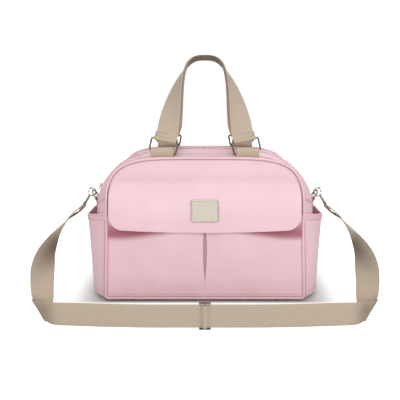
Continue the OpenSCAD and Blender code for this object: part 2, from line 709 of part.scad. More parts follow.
// Arch angle at which the webbing leaves the ring, and roundness of the arch
arch_low = 12;
arch_n = 2.15;
// Twist of the webbing: its start at the ring, its rate for each degree of the arch, the run of its onset
twist_first = 8;
twist_rate = 1.17;
twist_onset = 18;
function twist(b) = min(90, (twist_first + twist_rate * b) * ease((b - arch_low / 3) / twist_onset));
function arch(b) = [-handle_x * bow(cos(b), arch_n), 0, handle_h * bow(sin(b), arch_n)];
function arch_in(b) = unit([handle_h * cos(b) , 0, -handle_x * sin(b)]);
function handle_half(b) =
    let (inward = b < 2 * arch_low ? unit(mid(ring_along, arch_in(b))) : arch_in(b))
    web_w / 2 * (cos(twist(b)) * inward - sin(twist(b)) * [0, 1, 0]);
// The fold round the ring: up the back, round the bar, then up the front
fold_l = 22;
handle_bar = [bar_x, 0, bar_z];
handle_fold = concat(
    [[handle_bar + fold_l * ring_up + [0, web_t + 3 * gap, 0], web_w / 2 * ring_along]],
    [for (a = lin(0, 180, 6))
        [handle_bar + loop_r * (cos(a) * [0, 1, 0] - sin(a) * ring_up), web_w / 2 * ring_along]]
);
handle_leg = [for (b = lin(arch_low, 90, 14)) [arch(b), handle_half(b)]];
function across_x(s) = [[-s[0][0], s[0][1], s[0][2]], [-s[1][0], s[1][1], s[1][2]]];
module handle() {
    left = concat(handle_fold, handle_leg);
    n = len(left);
    color(beige) on_handle() band(concat(left, [for (i = [n - 2:-1:0]) across_x(left[i])]), web_t);
}
module handle_front() { placed() handle(); }
module handle_back() { placed() mirror([0, 1, 0]) handle(); }

// Strap hardware on the gussets, drawn on the left side

dee_out = [-cos(dee_rise), 0, sin(dee_rise)];
tab2_t = 1.5;
dee_tab_l = 17;
dee_low = dee_z - dee_tab_l;
dee_bar = [-gusset_x(dee_low, 0) - gap - tab2_t - gap - wire_r, 0, dee_z];
dee_top = dee_bar + dee_r * dee_out;
dee_tab_w = 2 * dee_r - 4 * wire_r;
module ring_tab() {
    wrap = wire_r + gap;
    color(pink) {
        translate([dee_bar[0], dee_tab_w / 2, dee_bar[2]]) rotate([90, 0, 0])
        linear_extrude(dee_tab_w) difference() {
            union() {
                circle(wrap + tab2_t);
                translate([0, -(dee_z - dee_low)]) square([wrap + tab2_t, dee_z - dee_low]);
            }
            circle(wrap);
        }
    }
}
module ring_tab_left() { placed() ring_tab(); }
module ring_tab_right() { placed() mirror([1, 0, 0]) ring_tab(); }
module d_ring() {
    color(nickel) translate(dee_bar) rotate([0, dee_rise, 0]) mirror([1, 0, 0]) {
        rotate([90, 0, 0]) cylinder(h = 2 * dee_r, r = wire_r, center = true);
        rotate([0, 0, -90]) rotate_extrude(angle = 180) translate([dee_r, 0]) circle(wire_r);
        for (y = [-1, 1]) translate([0, y * dee_r, 0]) sphere(wire_r);
    }
}
module d_ring_left() { placed() d_ring(); }
module d_ring_right() { placed() mirror([1, 0, 0]) d_ring(); }

// Snap hooks. Their own frame has X along the pull and Z on the gate's side.
hook_wire = 1.7;
hook_gap = 0.6;
bow_c = hook_r - hook_wire - hook_gap - wire_r;
gate_from = 30;
gate_to = 112;
shank_r = 2.2;
module on_hook() {
    translate(dee_top) mirror([1, 0, 0]) rotate([0, hook_slope, 0]) children();
}
eye_h = 7;
collar_l = 2.8;
swivel_p = hook_l - eye_h - collar_l - gap;
module strap_hook() {
    color(nickel) on_hook() {
        translate([bow_c, 0, 0]) rotate([-90, 0, 0]) rotate([0, 0, -gate_from])
            rotate_extrude(angle = 360 - (gate_to - gate_from) ) translate([hook_r, 0]) circle(hook_wire);
        translate([bow_c + hook_r - 0.5, 0, 0]) rotate([0, 90, 0])
            cylinder(h = swivel_p - bow_c - hook_r + 0.5, r = shank_r);
        translate([swivel_p - 2.4, 0, 0]) rotate([0, 90, 0]) cylinder(h = 2.4, r = 3.2);
    }
}
module strap_hook_left() { placed() strap_hook(); }
module strap_hook_right() { placed() mirror([1, 0, 0]) strap_hook(); }
// Sprung gate across the hook's mouth
gate_r = 1.2;
gate_pivot = [bow_c + hook_r * cos(gate_from), 0, hook_r * sin(gate_from)];
gate_tip = [bow_c + hook_r * cos(gate_to), 0, hook_r * sin(gate_to)];
gate_way = unit(gate_tip - gate_pivot);
gate_len = norm(gate_tip - gate_pivot);
gate_start = hook_wire + gap;
module hook_gate() {
    color(nickel) on_hook() translate(gate_pivot) rotate([0, -atan2(gate_way[2], gate_way[0]), 0])
        translate([gate_start, 0, 0]) rotate([0, 90, 0]) cylinder(h = gate_len - 2 * gate_start, r = gate_r);
}
module hook_gate_left() { placed() hook_gate(); }
module hook_gate_right() { placed() mirror([1, 0, 0]) hook_gate(); }
// Swivel eye: a collar on the hook's stub and a long loop for the webbing
module hook_swivel() {
    color(nickel) on_hook() translate([hook_l - eye_h, 0, 0]) {
        rotate([0, 90, 0]) rotate([0, 0, 90]) wire_frame(web_w + 2 * wire_r + 2, eye_h, wire_r, 3);
        translate([-collar_l, 0, 0]) rotate([0, 90, 0]) cylinder(h = collar_l, r = 3);
    }
}
module hook_swivel_left() { placed() hook_swivel(); }
module hook_swivel_right() { placed() mirror([1, 0, 0]) hook_swivel(); }

// Shoulder strap, left half from its hook to the middle of the front run.
// Each station is a centre and the half-width vector to the strap's inner or lower edge.
eye_bar = dee_top + hook_l * [-cos(hook_slope), 0, -sin(hook_slope)];
strap_slope = 37;
strap_way = [-cos(strap_slope), 0, -sin(strap_slope)];
strap_up = [-sin(strap_slope), 0, cos(strap_slope)];
strap_half = web_w / 2;
sewn_l = 26;
strap_loop = concat(
    [[eye_bar + sewn_l * strap_way - (web_t / 2 + gap) * strap_up, strap_half * [0, -1, 0]]],
    [[eye_bar + sewn_l / 2 * strap_way - loop_r * strap_up, strap_half * [0, -1, 0]]],
    [for (a = lin(-90, 90, 6))
        [eye_bar + loop_r * (sin(a) * strap_up - cos(a) * strap_way), strap_half * [0, -1, 0]]],
    [[eye_bar + sewn_l / 2 * strap_way + loop_r * 0.8 * strap_up, strap_half * [0, -1, 0]]],
    [[eye_bar + sewn_l * strap_way + (web_t / 2 + gap) * strap_up, strap_half * [0, -1, 0]]]
);
strap_run = [
    [[-255, -3, 119], [1, -19, -1]],
    [[-265, -10, 106], [4, -18, -3]],
    [[-272, -28, 94], [10, -16, -4]],
    [[-275, -52, 86], [15, -11, -3]],
    [[-274, -80, 79], [18, -5, -2]],
    [[-269, -112, 70], [18, 5, -3]],
    [[-262, -144, 57], [17, 6, -6]],
    [[-256, -168, 42], [16, 4, -10]],
    [[-254, -180, 31], [13, 1, -14]]
];
// Soft diagonal fold where the strap turns from the side to the front
turn_c = [-254, -187, 25];
turn_half = [7, 0, -18];
turn_r = 4;
turn_out = unit([-turn_half[2], 0, turn_half[0]]);
strap_turn = [for (a = lin(180, 0, 6))
    [turn_c + turn_r * (sin(a) * -turn_out - cos(a) * [0, 1, 0]), turn_half]];
front_z = 22;
strap_front = [
    [[-244, -191, 24], [4, 0, -19]],
    [[-228, -193, 23], [2, 0, -19]],
    [[-208, -194, front_z], [0, 0, -19]],
    [[-170, -197, front_z], [0, 0, -19]],
    [[-120, -200, front_z], [0, 0, -19]],
    [[-80, -201, front_z], [0, 0, -19]],
    [[0, -201, front_z], [0, 0, -19]]
];
module shoulder_strap() {
    left = concat(strap_loop, strap_run, strap_turn, strap_front);
    n = len(left);
    placed() color(beige) band(concat(left, [for (i = [n - 2:-1:0]) across_x(left[i])]), web_t);
}
// Three-bar adjuster threaded on the middle of the front run
bar_gap = web_t / 2 + gap + wire_r;
adjuster_half = web_w / 2 + gap;
module strap_adjuster() {
    strap_mid = strap_front[len(strap_front) - 1][0];
    cap_t = 2;
    placed() color(nickel) translate(strap_mid) {
        for (z = [-adjuster_half - cap_t, adjuster_half]) translate([-adjuster_w / 2, -bar_gap - wire_r, z])
            cube([adjuster_w, 2 * (bar_gap + wire_r), cap_t]);
        for (x = [-1, 1]) translate([x * (adjuster_w / 2 - wire_r), bar_gap, -adjuster_half - cap_t])
            cylinder(h = 2 * (adjuster_half + cap_t), r = wire_r);
        translate([0, -bar_gap, -adjuster_half - cap_t]) cylinder(h = 2 * (adjuster_half + cap_t), r = wire_r);
    }
}

front_panel();
back_panel();
front_piping();
back_piping();
gusset_left();
gusset_right();
bottom_panel();
base_board();
base_feet();
lining();
zip_panel_front();
zip_panel_back();
zip_flap_front();
zip_flap_back();
zip_tape_front();
zip_tape_back();
zip_teeth_front();
zip_teeth_back();
zip_tape_left();
zip_tape_right();
zip_teeth_left();
zip_teeth_right();
zip_slider();
zip_puller();
front_pocket_left();
front_pocket_right();
pocket_pleat();
snap_sockets();
pocket_flap();
flap_snaps();
name_plate();
side_pocket_left();
side_pocket_right();
side_hem_left();
side_hem_right();
handle_tab_front_left();
handle_tab_front_right();
handle_tab_back_left();
handle_tab_back_right();
handle_ring_front_left();
handle_ring_front_right();
handle_ring_back_left();
handle_ring_back_right();
handle_front();
handle_back();
ring_tab_left();
ring_tab_right();
d_ring_left();
d_ring_right();
strap_hook_left();
strap_hook_right();
hook_gate_left();
hook_gate_right();
hook_swivel_left();
hook_swivel_right();
shoulder_strap();
strap_adjuster();
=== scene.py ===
"""Changing bag in pink leatherette, with webbing handles on wire rings and a clip-on shoulder strap."""
import math

import bpy
import numpy as np
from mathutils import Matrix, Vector


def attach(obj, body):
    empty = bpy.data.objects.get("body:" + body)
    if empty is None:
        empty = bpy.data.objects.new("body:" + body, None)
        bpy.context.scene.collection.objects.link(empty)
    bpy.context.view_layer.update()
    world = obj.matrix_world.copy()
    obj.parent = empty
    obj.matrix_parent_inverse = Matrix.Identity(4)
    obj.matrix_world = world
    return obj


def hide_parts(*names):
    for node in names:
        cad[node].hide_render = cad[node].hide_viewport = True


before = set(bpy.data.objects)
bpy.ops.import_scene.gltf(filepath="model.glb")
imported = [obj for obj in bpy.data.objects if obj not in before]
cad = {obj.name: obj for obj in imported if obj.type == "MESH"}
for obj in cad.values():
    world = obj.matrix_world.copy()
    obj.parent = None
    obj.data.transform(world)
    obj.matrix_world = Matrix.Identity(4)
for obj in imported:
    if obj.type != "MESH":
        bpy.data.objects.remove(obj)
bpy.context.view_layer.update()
scene = bpy.context.scene


# Camera and studio. The camera stands a little under a metre in front of the bag, 0.37 m up, and looks
# 12 degrees down. Five softboxes and an even white room light a white floor that keeps the shadow.
scene.view_settings.view_transform = "Standard"
eye = bpy.data.cameras.new("camera")
eye.sensor_fit = "HORIZONTAL"
eye.sensor_width = 36.0
eye.lens = 49.05
eye.shift_x = -0.01225
camera = bpy.data.objects.new("camera", eye)
camera.location = (0.0, -0.9676, 0.367)
camera.rotation_euler = (math.radians(78.0), 0.0, 0.0)
scene.collection.objects.link(camera)
scene.camera = camera


def linear(code):
    """Linear RGBA of an sRGB hex colour: c / 12.92 in the foot of the curve, else ((c + 0.055) / 1.055) ** 2.4."""
    c = np.array([int(code[i:i + 2], 16) for i in (1, 3, 5)]) / 255.0
    return (*np.where(c <= 0.04045, c / 12.92, ((c + 0.055) / 1.055) ** 2.4).tolist(), 1.0)


def add_node(tree, kind, sockets=None, **settings):
    """Adds one shader node, sets its fields, then gives each named or numbered input a value or a link. A node
    given as a value stands for its first output."""
    made = tree.nodes.new("ShaderNode" + kind)
    for field, value in settings.items():
        setattr(made, field, value)
    for key, value in (sockets or {}).items():
        value = value.outputs[0] if isinstance(value, bpy.types.Node) else value
        if isinstance(value, bpy.types.NodeSocket):
            tree.links.new(value, made.inputs[key])
        else:
            made.inputs[key].default_value = value
    return made


def softbox(name, place, aim, size, power):
    """Square area lamp at place, turned so that it faces aim."""
    lamp = bpy.data.lights.new(name, "AREA")
    lamp.size = size
    lamp.energy = power
    holder = bpy.data.objects.new(name, lamp)
    holder.location = place
    holder.rotation_euler = (Vector(aim) - Vector(place)).to_track_quat("-Z", "Y").to_euler()
    scene.collection.objects.link(holder)


softbox("key_softbox", (-0.12, -1.95, 1.38), (0.0, 0.0, 0.14), 1.0, 13.5)
softbox("fill_softbox", (1.4, -1.3, 0.9), (0.0, 0.0, 0.14), 1.3, 4.5)
softbox("low_softbox", (0.15, -2.2, 0.4), (0.0, 0.0, 0.12), 1.0, 11.0)
softbox("top_softbox", (0.0, -0.1, 2.0), (0.0, 0.0, 0.2), 1.0, 4.5)
softbox("back_softbox", (0.25, 2.0, 1.0), (0.0, 0.0, 0.14), 1.3, 9.0)


def seen_by(tree, *rays):
    """1 where one of the named rays looks, else 0: the greatest of their outputs on the light path."""
    path = add_node(tree, "LightPath").outputs
    seen = path[rays[0]]
    for ray in rays[1:]:
        seen = add_node(tree, "Math", {0: seen, 1: path[ray]}, operation="MAXIMUM")
    return seen


room = bpy.data.worlds.new("white_room")
scene.world = room
room.use_nodes = True
tree = room.node_tree
tree.nodes.clear()
seen = seen_by(tree, "Is Camera Ray", "Is Glossy Ray", "Is Transmission Ray")
even = add_node(tree, "Background", {"Color": (1.0, 1.0, 1.0, 1.0), "Strength": 0.54})
white = add_node(tree, "Background", {"Color": (1.0, 1.0, 1.0, 1.0), "Strength": 1.0})
sky = add_node(tree, "MixShader", {0: seen, 1: even, 2: white})
add_node(tree, "OutputWorld", {"Surface": sky})


def new_finish(name):
    """Empty material under its name, and the node tree that its section fills."""
    made = bpy.data.materials.new(name)
    made.use_nodes = True
    made.node_tree.nodes.clear()
    return made, made.node_tree


# White paper sweep: plain white to the eye and to metal. Close round the base its glow fades, over 22 mm in front
# and five times as far at the sides: a painted shadow fixed to the base, through which the bag's real shadow shows on
# the paper.
paper, tree = new_finish("white_paper_sweep")
base_middle, base_size, nowhere = (0.0, 0.0074, 0.0), (0.172, 0.088, 0.0), (0.0, 0.0, 0.0)
fade_weight, fade_m = (0.2, 1.0, 0.0), 0.022
apart = add_node(tree, "TexCoord").outputs["Object"]
for operation, by in (("SUBTRACT", base_middle), ("ABSOLUTE", nowhere), ("SUBTRACT", base_size),
                      ("MAXIMUM", nowhere), ("MULTIPLY", fade_weight)):
    apart = add_node(tree, "VectorMath", {0: apart, 1: by}, operation=operation)
reach = add_node(tree, "VectorMath", {0: apart}, operation="LENGTH")
lift = add_node(tree, "MapRange", {"Value": reach.outputs["Value"], "From Max": fade_m},
                interpolation_type="SMOOTHSTEP")
seen = seen_by(tree, "Is Camera Ray", "Is Glossy Ray")
glow = add_node(tree, "Math", {0: seen, 1: lift}, operation="MULTIPLY")
matt = add_node(tree, "BsdfDiffuse", {"Color": linear("#cfcfcd")})
shine = add_node(tree, "Emission", {"Color": (1.0, 1.0, 1.0, 1.0), "Strength": glow})
both = add_node(tree, "AddShader", {0: matt, 1: shine})
add_node(tree, "OutputMaterial", {"Surface": both})
sweep = bpy.data.meshes.new("floor")
sweep.from_pydata([(-4, -4, 0), (4, -4, 0), (4, 4, 0), (-4, 4, 0)], [], [(0, 1, 2, 3)])
sweep.materials.append(paper)
floor = bpy.data.objects.new("floor", sweep)
scene.collection.objects.link(floor)


# Shoulder strap: flat cotton webbing, 38 mm wide, sewn back on itself round the eye of each hook. It drops
# from the hooks, turns its face forward, folds softly at each corner and stands on edge along the floor.
def unit(a):
    """Vectors scaled to length 1 along the last axis."""
    return a / np.maximum(np.linalg.norm(a, axis=-1, keepdims=True), 1e-12)


def ease(t):
    """Smooth step from 0 to 1: 3 t^2 - 2 t^3 on t held between 0 and 1."""
    c = np.clip(t, 0.0, 1.0)
    return c * c * (3.0 - 2.0 * c)


def curve_through(stations, steps):
    """Catmull-Rom curve through stations, paced by the square root of each gap, so that tight folds stay round.
    Every stretch blends its two inner stations with their neighbours; the first three columns are the place."""
    p = np.vstack([2 * stations[0] - stations[1], stations, 2 * stations[-1] - stations[-2]])
    t = np.concatenate([[0.0], np.cumsum(np.sqrt(np.linalg.norm(np.diff(p[:, :3], axis=0), axis=1)))])
    f = (np.arange(steps) / steps)[None, :, None]
    t0, t1, t2, t3 = (t[i:len(t) - 3 + i][:, None, None] for i in range(4))
    p0, p1, p2, p3 = (p[i:len(p) - 3 + i][:, None, :] for i in range(4))
    at = t1 + f * (t2 - t1)
    a1 = ((t1 - at) * p0 + (at - t0) * p1) / (t1 - t0)
    a2 = ((t2 - at) * p1 + (at - t1) * p2) / (t2 - t1)
    a3 = ((t3 - at) * p2 + (at - t2) * p3) / (t3 - t2)
    b1 = ((t2 - at) * a1 + (at - t0) * a2) / (t2 - t0)
    b2 = ((t3 - at) * a2 + (at - t1) * a3) / (t3 - t1)
    c = ((t2 - at) * b1 + (at - t1) * b2) / (t2 - t1)
    return np.vstack([c.reshape(-1, stations.shape[1]), stations[-1:]])


def grid_quads(rows, columns, round_rows=False, round_columns=False):
    """Faces of a grid of points, row by row; a round direction joins its last line to its first."""
    i = np.arange(rows if round_rows else rows - 1)[:, None]
    j = np.arange(columns if round_columns else columns - 1)[None, :]
    i2, j2 = (i + 1) % rows, (j + 1) % columns
    return np.stack([i * columns + j, i * columns + j2, i2 * columns + j2, i2 * columns + j], -1).reshape(-1, 4)


def right_way_out(points, faces):
    """Turns all faces of a closed form round when the volume they enclose comes out negative."""
    volume = sum(np.einsum("ij,ij->", points[f[:, 0]], np.cross(points[f[:, k]], points[f[:, k + 1]]))
                 for f in faces for k in range(1, f.shape[1] - 1))
    return faces if volume > 0 else [f[:, ::-1] for f in faces]


def tube(rings):
    """Closed form through a row of rings of points, each a closed outline, with a flat face on both ends."""
    rows, columns = rings.shape[:2]
    points = rings.reshape(-1, 3)
    ends = np.stack([np.arange(columns)[::-1], (rows - 1) * columns + np.arange(columns)])
    return points, right_way_out(points, [grid_quads(rows, columns, round_columns=True), ends])


def stacked(*columns):
    """Columns of one grid of points, spread to the same shape and stacked on the last axis."""
    return np.stack(np.broadcast_arrays(*columns), -1)


def ribbon(stations, thick, columns=12):
    """Webbing along stations of centre and half-width vector. Its outline is a slim rounded bar: point k of the
    outline lies at w half-widths sideways and h half-thicknesses up. The map runs along and across in metres."""
    centre, half = stations[:, :3], stations[:, 3:]
    way = unit(np.gradient(centre, axis=0))
    up = unit(np.cross(way, half))
    w = np.linspace(-1.0, 1.0, columns)
    share = thick / np.linalg.norm(half, axis=1).mean()
    w = np.concatenate([w * (1 - 0.5 * share), [1 - 0.15 * share, 1.0, 1 - 0.15 * share],
                        w[::-1] * (1 - 0.5 * share), [-1 + 0.15 * share, -1.0, -1 + 0.15 * share]])
    h = np.concatenate([np.ones(columns), [0.7, 0.0, -0.7], -np.ones(columns), [-0.7, 0.0, 0.7]])
    rings = centre[:, None] + w[:, None] * half[:, None] + 0.5 * thick * h[:, None] * up[:, None]
    along = np.concatenate([[0.0], np.cumsum(np.linalg.norm(np.diff(centre, axis=0), axis=1))])
    across = np.linalg.norm(half, axis=1)[:, None] * w
    chart = stacked(along[:, None], across).reshape(-1, 2) * 0.001
    points, faces = tube(rings)
    return points, faces, chart


def join(*forms):
    """One form from several: points stacked, face numbers moved on."""
    start = np.concatenate([[0], np.cumsum([len(f[0]) for f in forms])])
    return np.vstack([f[0] for f in forms]), [a + s for f, s in zip(forms, start) for a in f[1]]


# The sewing formulas put the middle of the panels at y = 0; the part's origin lies between its front and back.
bag_shift = np.array([0.0, 7.39167, 0.0])


def sew(name, form, material, body, nodes=(), chart=None, seam=None):
    """Makes a piece from a form in millimetres, shades it smooth and fixes it to a body of the bag.
    chart is a flat map of the points in metres; the last argument is each point's painted shade, how far its colour
    goes towards the darker crease colour where creases, recesses and shadowed spots fall in shade."""
    points, faces = form[0], form[1]
    mesh = bpy.data.meshes.new(name)
    mesh.from_pydata(((points + bag_shift) * 0.001).tolist(), [], [f for a in faces for f in a.tolist()])
    mesh.polygons.foreach_set("use_smooth", np.ones(len(mesh.polygons), bool))
    if chart is not None:
        corner = np.empty(len(mesh.loops), np.int32)
        mesh.loops.foreach_get("vertex_index", corner)
        mesh.uv_layers.new(name="weave").data.foreach_set("uv", chart[corner].ravel())
    # Painted shade: a point attribute that the materials use to darken the colour where shade falls.
    if seam is not None:
        mesh.attributes.new("seam", "FLOAT", "POINT").data.foreach_set("value", np.asarray(seam, float).ravel())
    mesh.materials.append(material)
    made = bpy.data.objects.new(name, mesh)
    scene.collection.objects.link(made)
    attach(made, body)
    if nodes:
        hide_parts(*nodes)
    return made


def stitch_row(line, up, pitch=4.4, thread=0.42):
    """Row of lockstitches along a line: each thread is a six-sided bow that rises by the sine of its run and
    dips into the cloth at both ends. up points out of the cloth; pitch and thread radius are in millimetres."""
    up = np.broadcast_to(up, line.shape)
    at = np.concatenate([[0.0], np.cumsum(np.linalg.norm(np.diff(line, axis=0), axis=1))])
    count = max(int(at[-1] // pitch), 1)
    t = np.linspace(0.0, 1.0, 5)
    where = (np.arange(count)[:, None] + 0.12 + 0.76 * t) * at[-1] / count
    centre = np.stack([np.interp(where, at, line[:, k]) for k in range(3)], -1)
    rise = unit(np.stack([np.interp(where, at, up[:, k]) for k in range(3)], -1))
    side = unit(np.cross(np.gradient(centre, axis=1), rise))
    centre = centre + rise * (thread * (1.25 * np.sin(np.pi * t) - 0.45))[:, None]
    turn = np.arange(6) * np.pi / 3
    size = (thread * np.array([0.5, 0.95, 1.0, 0.95, 0.5]))[:, None, None]
    rings = centre[:, :, None] + size * (np.cos(turn)[:, None] * side[:, :, None]
                                         + np.sin(turn)[:, None] * rise[:, :, None])
    first = 30 * np.arange(count)[:, None, None]
    quads = (grid_quads(5, 6, round_columns=True)[None] + first).reshape(-1, 4)
    caps = (np.stack([np.arange(6)[::-1], 24 + np.arange(6)])[None] + first).reshape(-1, 6)
    points = rings.reshape(-1, 3)
    return points, right_way_out(points, [quads, caps])


def dyed(tree, tone, deep, light, surface, relief=None, crease_shade=None, sunk=False):
    """Closes a material's tree: tone takes the colour from deep to light, and painted shade on to the crease colour
    by the shade attribute. relief is the height, strength and depth of a bump, turned inwards if sunk; surface is all
    the rest."""
    dye = add_node(tree, "Mix", {0: tone, 6: linear(deep), 7: linear(light)}, data_type="RGBA")
    # Painted shade: the colour darkens towards the crease colour as far as the shade attribute says.
    if crease_shade:
        seam = add_node(tree, "Attribute", attribute_name="seam")
        dye = add_node(tree, "Mix", {0: seam.outputs["Fac"], 6: dye.outputs[2], 7: linear(crease_shade)}, data_type="RGBA")
    surface = {"Base Color": dye.outputs[2], **surface}
    if relief:
        bump = add_node(tree, "Bump", dict(zip(("Height", "Strength", "Distance"), relief)), invert=sunk)
        surface["Normal"] = bump
    film = add_node(tree, "BsdfPrincipled", surface)
    add_node(tree, "OutputMaterial", {"Surface": film})


# Cotton webbing, woven with ribs along its length: matt and dry, each rib lit on one side, the shade of beige
# wandering a little from yarn to yarn, and a painted shade where it turns from the light. Real ribs are about
# 1.5 mm apart; they are drawn at 3 mm so that they show.
webbing, tree = new_finish("ribbed_cotton_webbing")
rib_mm, weft_mm, yarn_mm = 3.0, 1.8, 2.381
one_wave = 0.31416  # length of one wave in a wave texture of scale 1
weave = add_node(tree, "UVMap", uv_map="weave")
rib, weft = (
    add_node(tree, "TexWave", {"Vector": weave, "Scale": one_wave * 1000.0 / pitch, "Distortion": sway,
                               "Detail": 1.0, "Detail Scale": fine}, bands_direction=way)
    for pitch, sway, fine, way in ((rib_mm, 0.5, 2.0, "Y"), (weft_mm, 1.2, 1.5, "X")))
yarn = add_node(tree, "TexNoise", {"Vector": weave, "Scale": 1000.0 / yarn_mm, "Detail": 3.0})
relief = add_node(tree, "Math", {0: rib.outputs["Fac"], 1: 0.65, 2: weft.outputs["Fac"]}, operation="MULTIPLY_ADD")
tone = add_node(tree, "Math", {0: relief, 1: 0.34, 2: 0.06}, operation="MULTIPLY_ADD")
tone = add_node(tree, "Math", {0: yarn.outputs["Fac"], 1: 0.45, 2: tone}, operation="MULTIPLY_ADD")
# 6b5948 is the painted shade colour for webbing turned away from the light.
dyed(tree, tone, "#a9957f", "#cfbfac", {"Roughness": 0.82, "IOR": 1.5, "Sheen Weight": 0.12, "Sheen Roughness": 0.5,
                                        "Specular IOR Level": 0.25}, (relief, 0.55, 0.0006), crease_shade="#6b5948")


def speckled(name, deep, light, speck_mm, detail, surface, relief=None, gloss=None):
    """Finish whose tone wanders between two colours with a noise whose specks are speck_mm wide. relief is the
    strength and depth of its bump, gloss the range of its roughness, surface the rest."""
    made, tree = new_finish(name)
    place = add_node(tree, "TexCoord")
    speck = add_node(tree, "TexNoise", {"Vector": place.outputs["Object"], "Scale": 1000.0 / speck_mm,
                                        "Detail": detail})
    if gloss:
        haze = add_node(tree, "MapRange", {"Value": speck.outputs["Fac"], "To Min": gloss[0], "To Max": gloss[1]})
        surface = {"Roughness": haze, **surface}
    dyed(tree, speck.outputs["Fac"], deep, light, surface, relief and (speck.outputs["Fac"], *relief))
    return made


# Spun polyester sewing thread: a shade darker than the webbing, with a faint silky line along each stitch. Its twist,
# about 0.4 mm in life, is drawn at 1.1 mm so that it shows.
thread_beige = speckled("polyester_thread_beige", "#a38f7a", "#c4b29d", 1.111, 2.0,
                        {"Roughness": 0.6, "Specular IOR Level": 0.35})

web_half, web_thick, gap = 19.0, 1.6, 0.3
wire = 1.6
loop_r = wire + gap + web_thick / 2
hook_eye, hook_slope, sewn = np.array([-225.012, 0.0, 145.927]), math.radians(37), 26.0
strap_way = np.array([-math.cos(hook_slope), 0.0, -math.sin(hook_slope)])
strap_up = np.array([-math.sin(hook_slope), 0.0, math.cos(hook_slope)])
run_y, run_z = -201.0, 22.0


def with_half(centres, half):
    """Stations from centres and one half-width vector, or one for each."""
    return np.hstack([centres, np.broadcast_to(np.asarray(half, float), centres.shape)])


def arc(start, end, count):
    """Column of angles in radians, from start to end in degrees."""
    return np.radians(np.linspace(start, end, count))[:, None]


bend = arc(-90, 90, 9)
eye_loop = np.vstack([
    hook_eye + sewn * strap_way - (web_thick / 2 + gap) * strap_up,
    hook_eye + 0.5 * sewn * strap_way - loop_r * strap_up,
    hook_eye + loop_r * (np.sin(bend) * strap_up - np.cos(bend) * strap_way),
    hook_eye + 0.5 * sewn * strap_way + 0.8 * loop_r * strap_up,
    hook_eye + sewn * strap_way + (web_thick / 2 + gap) * strap_up,
])
side_drop = np.array([
    [-255, -3, 119, 1, -19, -1], [-265, -10, 106, 4, -18, -3], [-272, -28, 94, 10, -16, -4],
    [-275, -52, 86, 15, -11, -3], [-274, -80, 79, 18, -5, -2], [-269, -112, 70, 18, 5, -3],
    [-262, -144, 57, 17, 6, -6], [-256, -168, 42, 16, 4, -10], [-255, -180, 32, 13, 1, -14],
], float)
share = np.linspace(0.0, 1.0, 9)[:, None]
fold_half = np.array([11.5, 0.5, -14.5]) + share * np.array([-6.0, -0.5, -2.3])
fold_out = unit(np.array([16.0, 0.0, 9.0]))
bend = np.pi * (1.0 - share)
corner_fold = np.array([-255.0, -187.0, 30.0]) + share * np.array([5.0, 0.0, -4.0])
corner_fold = corner_fold + 5.0 * (-np.sin(bend) * fold_out - np.cos(bend) * [0, 1, 0])
corner_end = np.array([[-243, -192, 23.6, 4.5, 0, -18.2], [-228, -193, 22.2, 1.5, 0, -18.9]])
front_run = np.array([[-208, -194, run_z], [-170, -197, run_z], [-120, -200, run_z], [-80, run_y, run_z],
                      [-40, run_y, run_z], [0, run_y, run_z]])
front_run = np.vstack([corner_end, with_half(front_run, [0, 0, -web_half])])
half_strap = np.vstack([with_half(eye_loop, [0, -web_half, 0]), side_drop, with_half(corner_fold, fold_half),
                        front_run])
other_way = np.array([-1, 1, 1, -1, 1, 1])
strap_line = curve_through(np.vstack([half_strap, half_strap[-2::-1] * other_way]), 6)
points, faces, chart = ribbon(strap_line, web_thick)
# Painted shade on the webbing: darker where the strap twists its face from the light on the way down from the hook,
# and in the soft fold at each front corner.
high, left = points[:, 2], np.abs(points[:, 0])
forward = -points[:, 1]
turned = np.exp(-((high - 87.0) / 18.0) ** 2) * ease((left - 240.0) / 12.0) * ease((forward - 2.0) / 14.0)
turned = turned * (1.0 - 0.6 * ease((left - 266.0) / 28.0))
corner = ease((left - 222.0) / 28.0) * ease((60.0 - high) / 30.0) * ease((forward - 170.0) / 20.0)
turned = np.maximum(turned, 0.55 * corner)
strap = sew("strap_webbing", (points, faces), webbing, "strap", ["shoulder_strap"], chart, turned)
route = np.vstack([[hook_eye], (hook_eye + sewn * strap_way)[None], side_drop[:, :3], corner_fold[4:5],
                   front_run[:, :3]])
route = np.vstack([route, route[-2::-1] * [-1, 1, 1]])

# Two rows of stitching hold each folded end of the strap.
across = np.linspace(-0.84, 0.84, 12)[:, None] * np.array([0.0, web_half, 0.0])
rows = []
for far in (0.62 * sewn, 0.92 * sewn):
    lift = (web_thick + gap + 0.1) if far > 0.8 * sewn else (0.55 * loop_r + web_thick / 2 + 0.35)
    line = hook_eye + far * strap_way + lift * strap_up + across
    rows += [stitch_row(line, strap_up), stitch_row(line * [-1, 1, 1], strap_up * [-1, 1, 1])]
sew("strap_end_stitches", join(*rows), thread_beige, "strap")


# Strap hardware: snap hooks, their sprung gates and swivel eyes, and the D-rings. Cast and drawn zinc, nickel
# plated and polished; the hooks hang in the D-rings, and each strap end is sewn round a swivel eye.
# Polished nickel plate: a slightly warm mirror, dark where it reflects dark, with a soft haze of fine scratches in
# patches of about 4 mm.
nickel = speckled("polished_nickel_plate", "#7d756b", "#a29a90", 3.846, 4.0, {"Metallic": 1.0},
                  relief=(0.12, 0.0003), gloss=(0.16, 0.34))


def finish_node(name, material):
    """Gives a metal part of the frame its finish in every material slot, or adds a slot where it has none."""
    mesh = cad[name].data
    if not mesh.materials:
        mesh.materials.append(material)
    for i in range(len(mesh.materials)):
        mesh.materials[i] = material


for name in ("strap_hook_left", "strap_hook_right", "hook_gate_left", "hook_gate_right", "hook_swivel_left",
             "hook_swivel_right", "d_ring_left", "d_ring_right", "strap_adjuster"):
    finish_node(name, nickel)


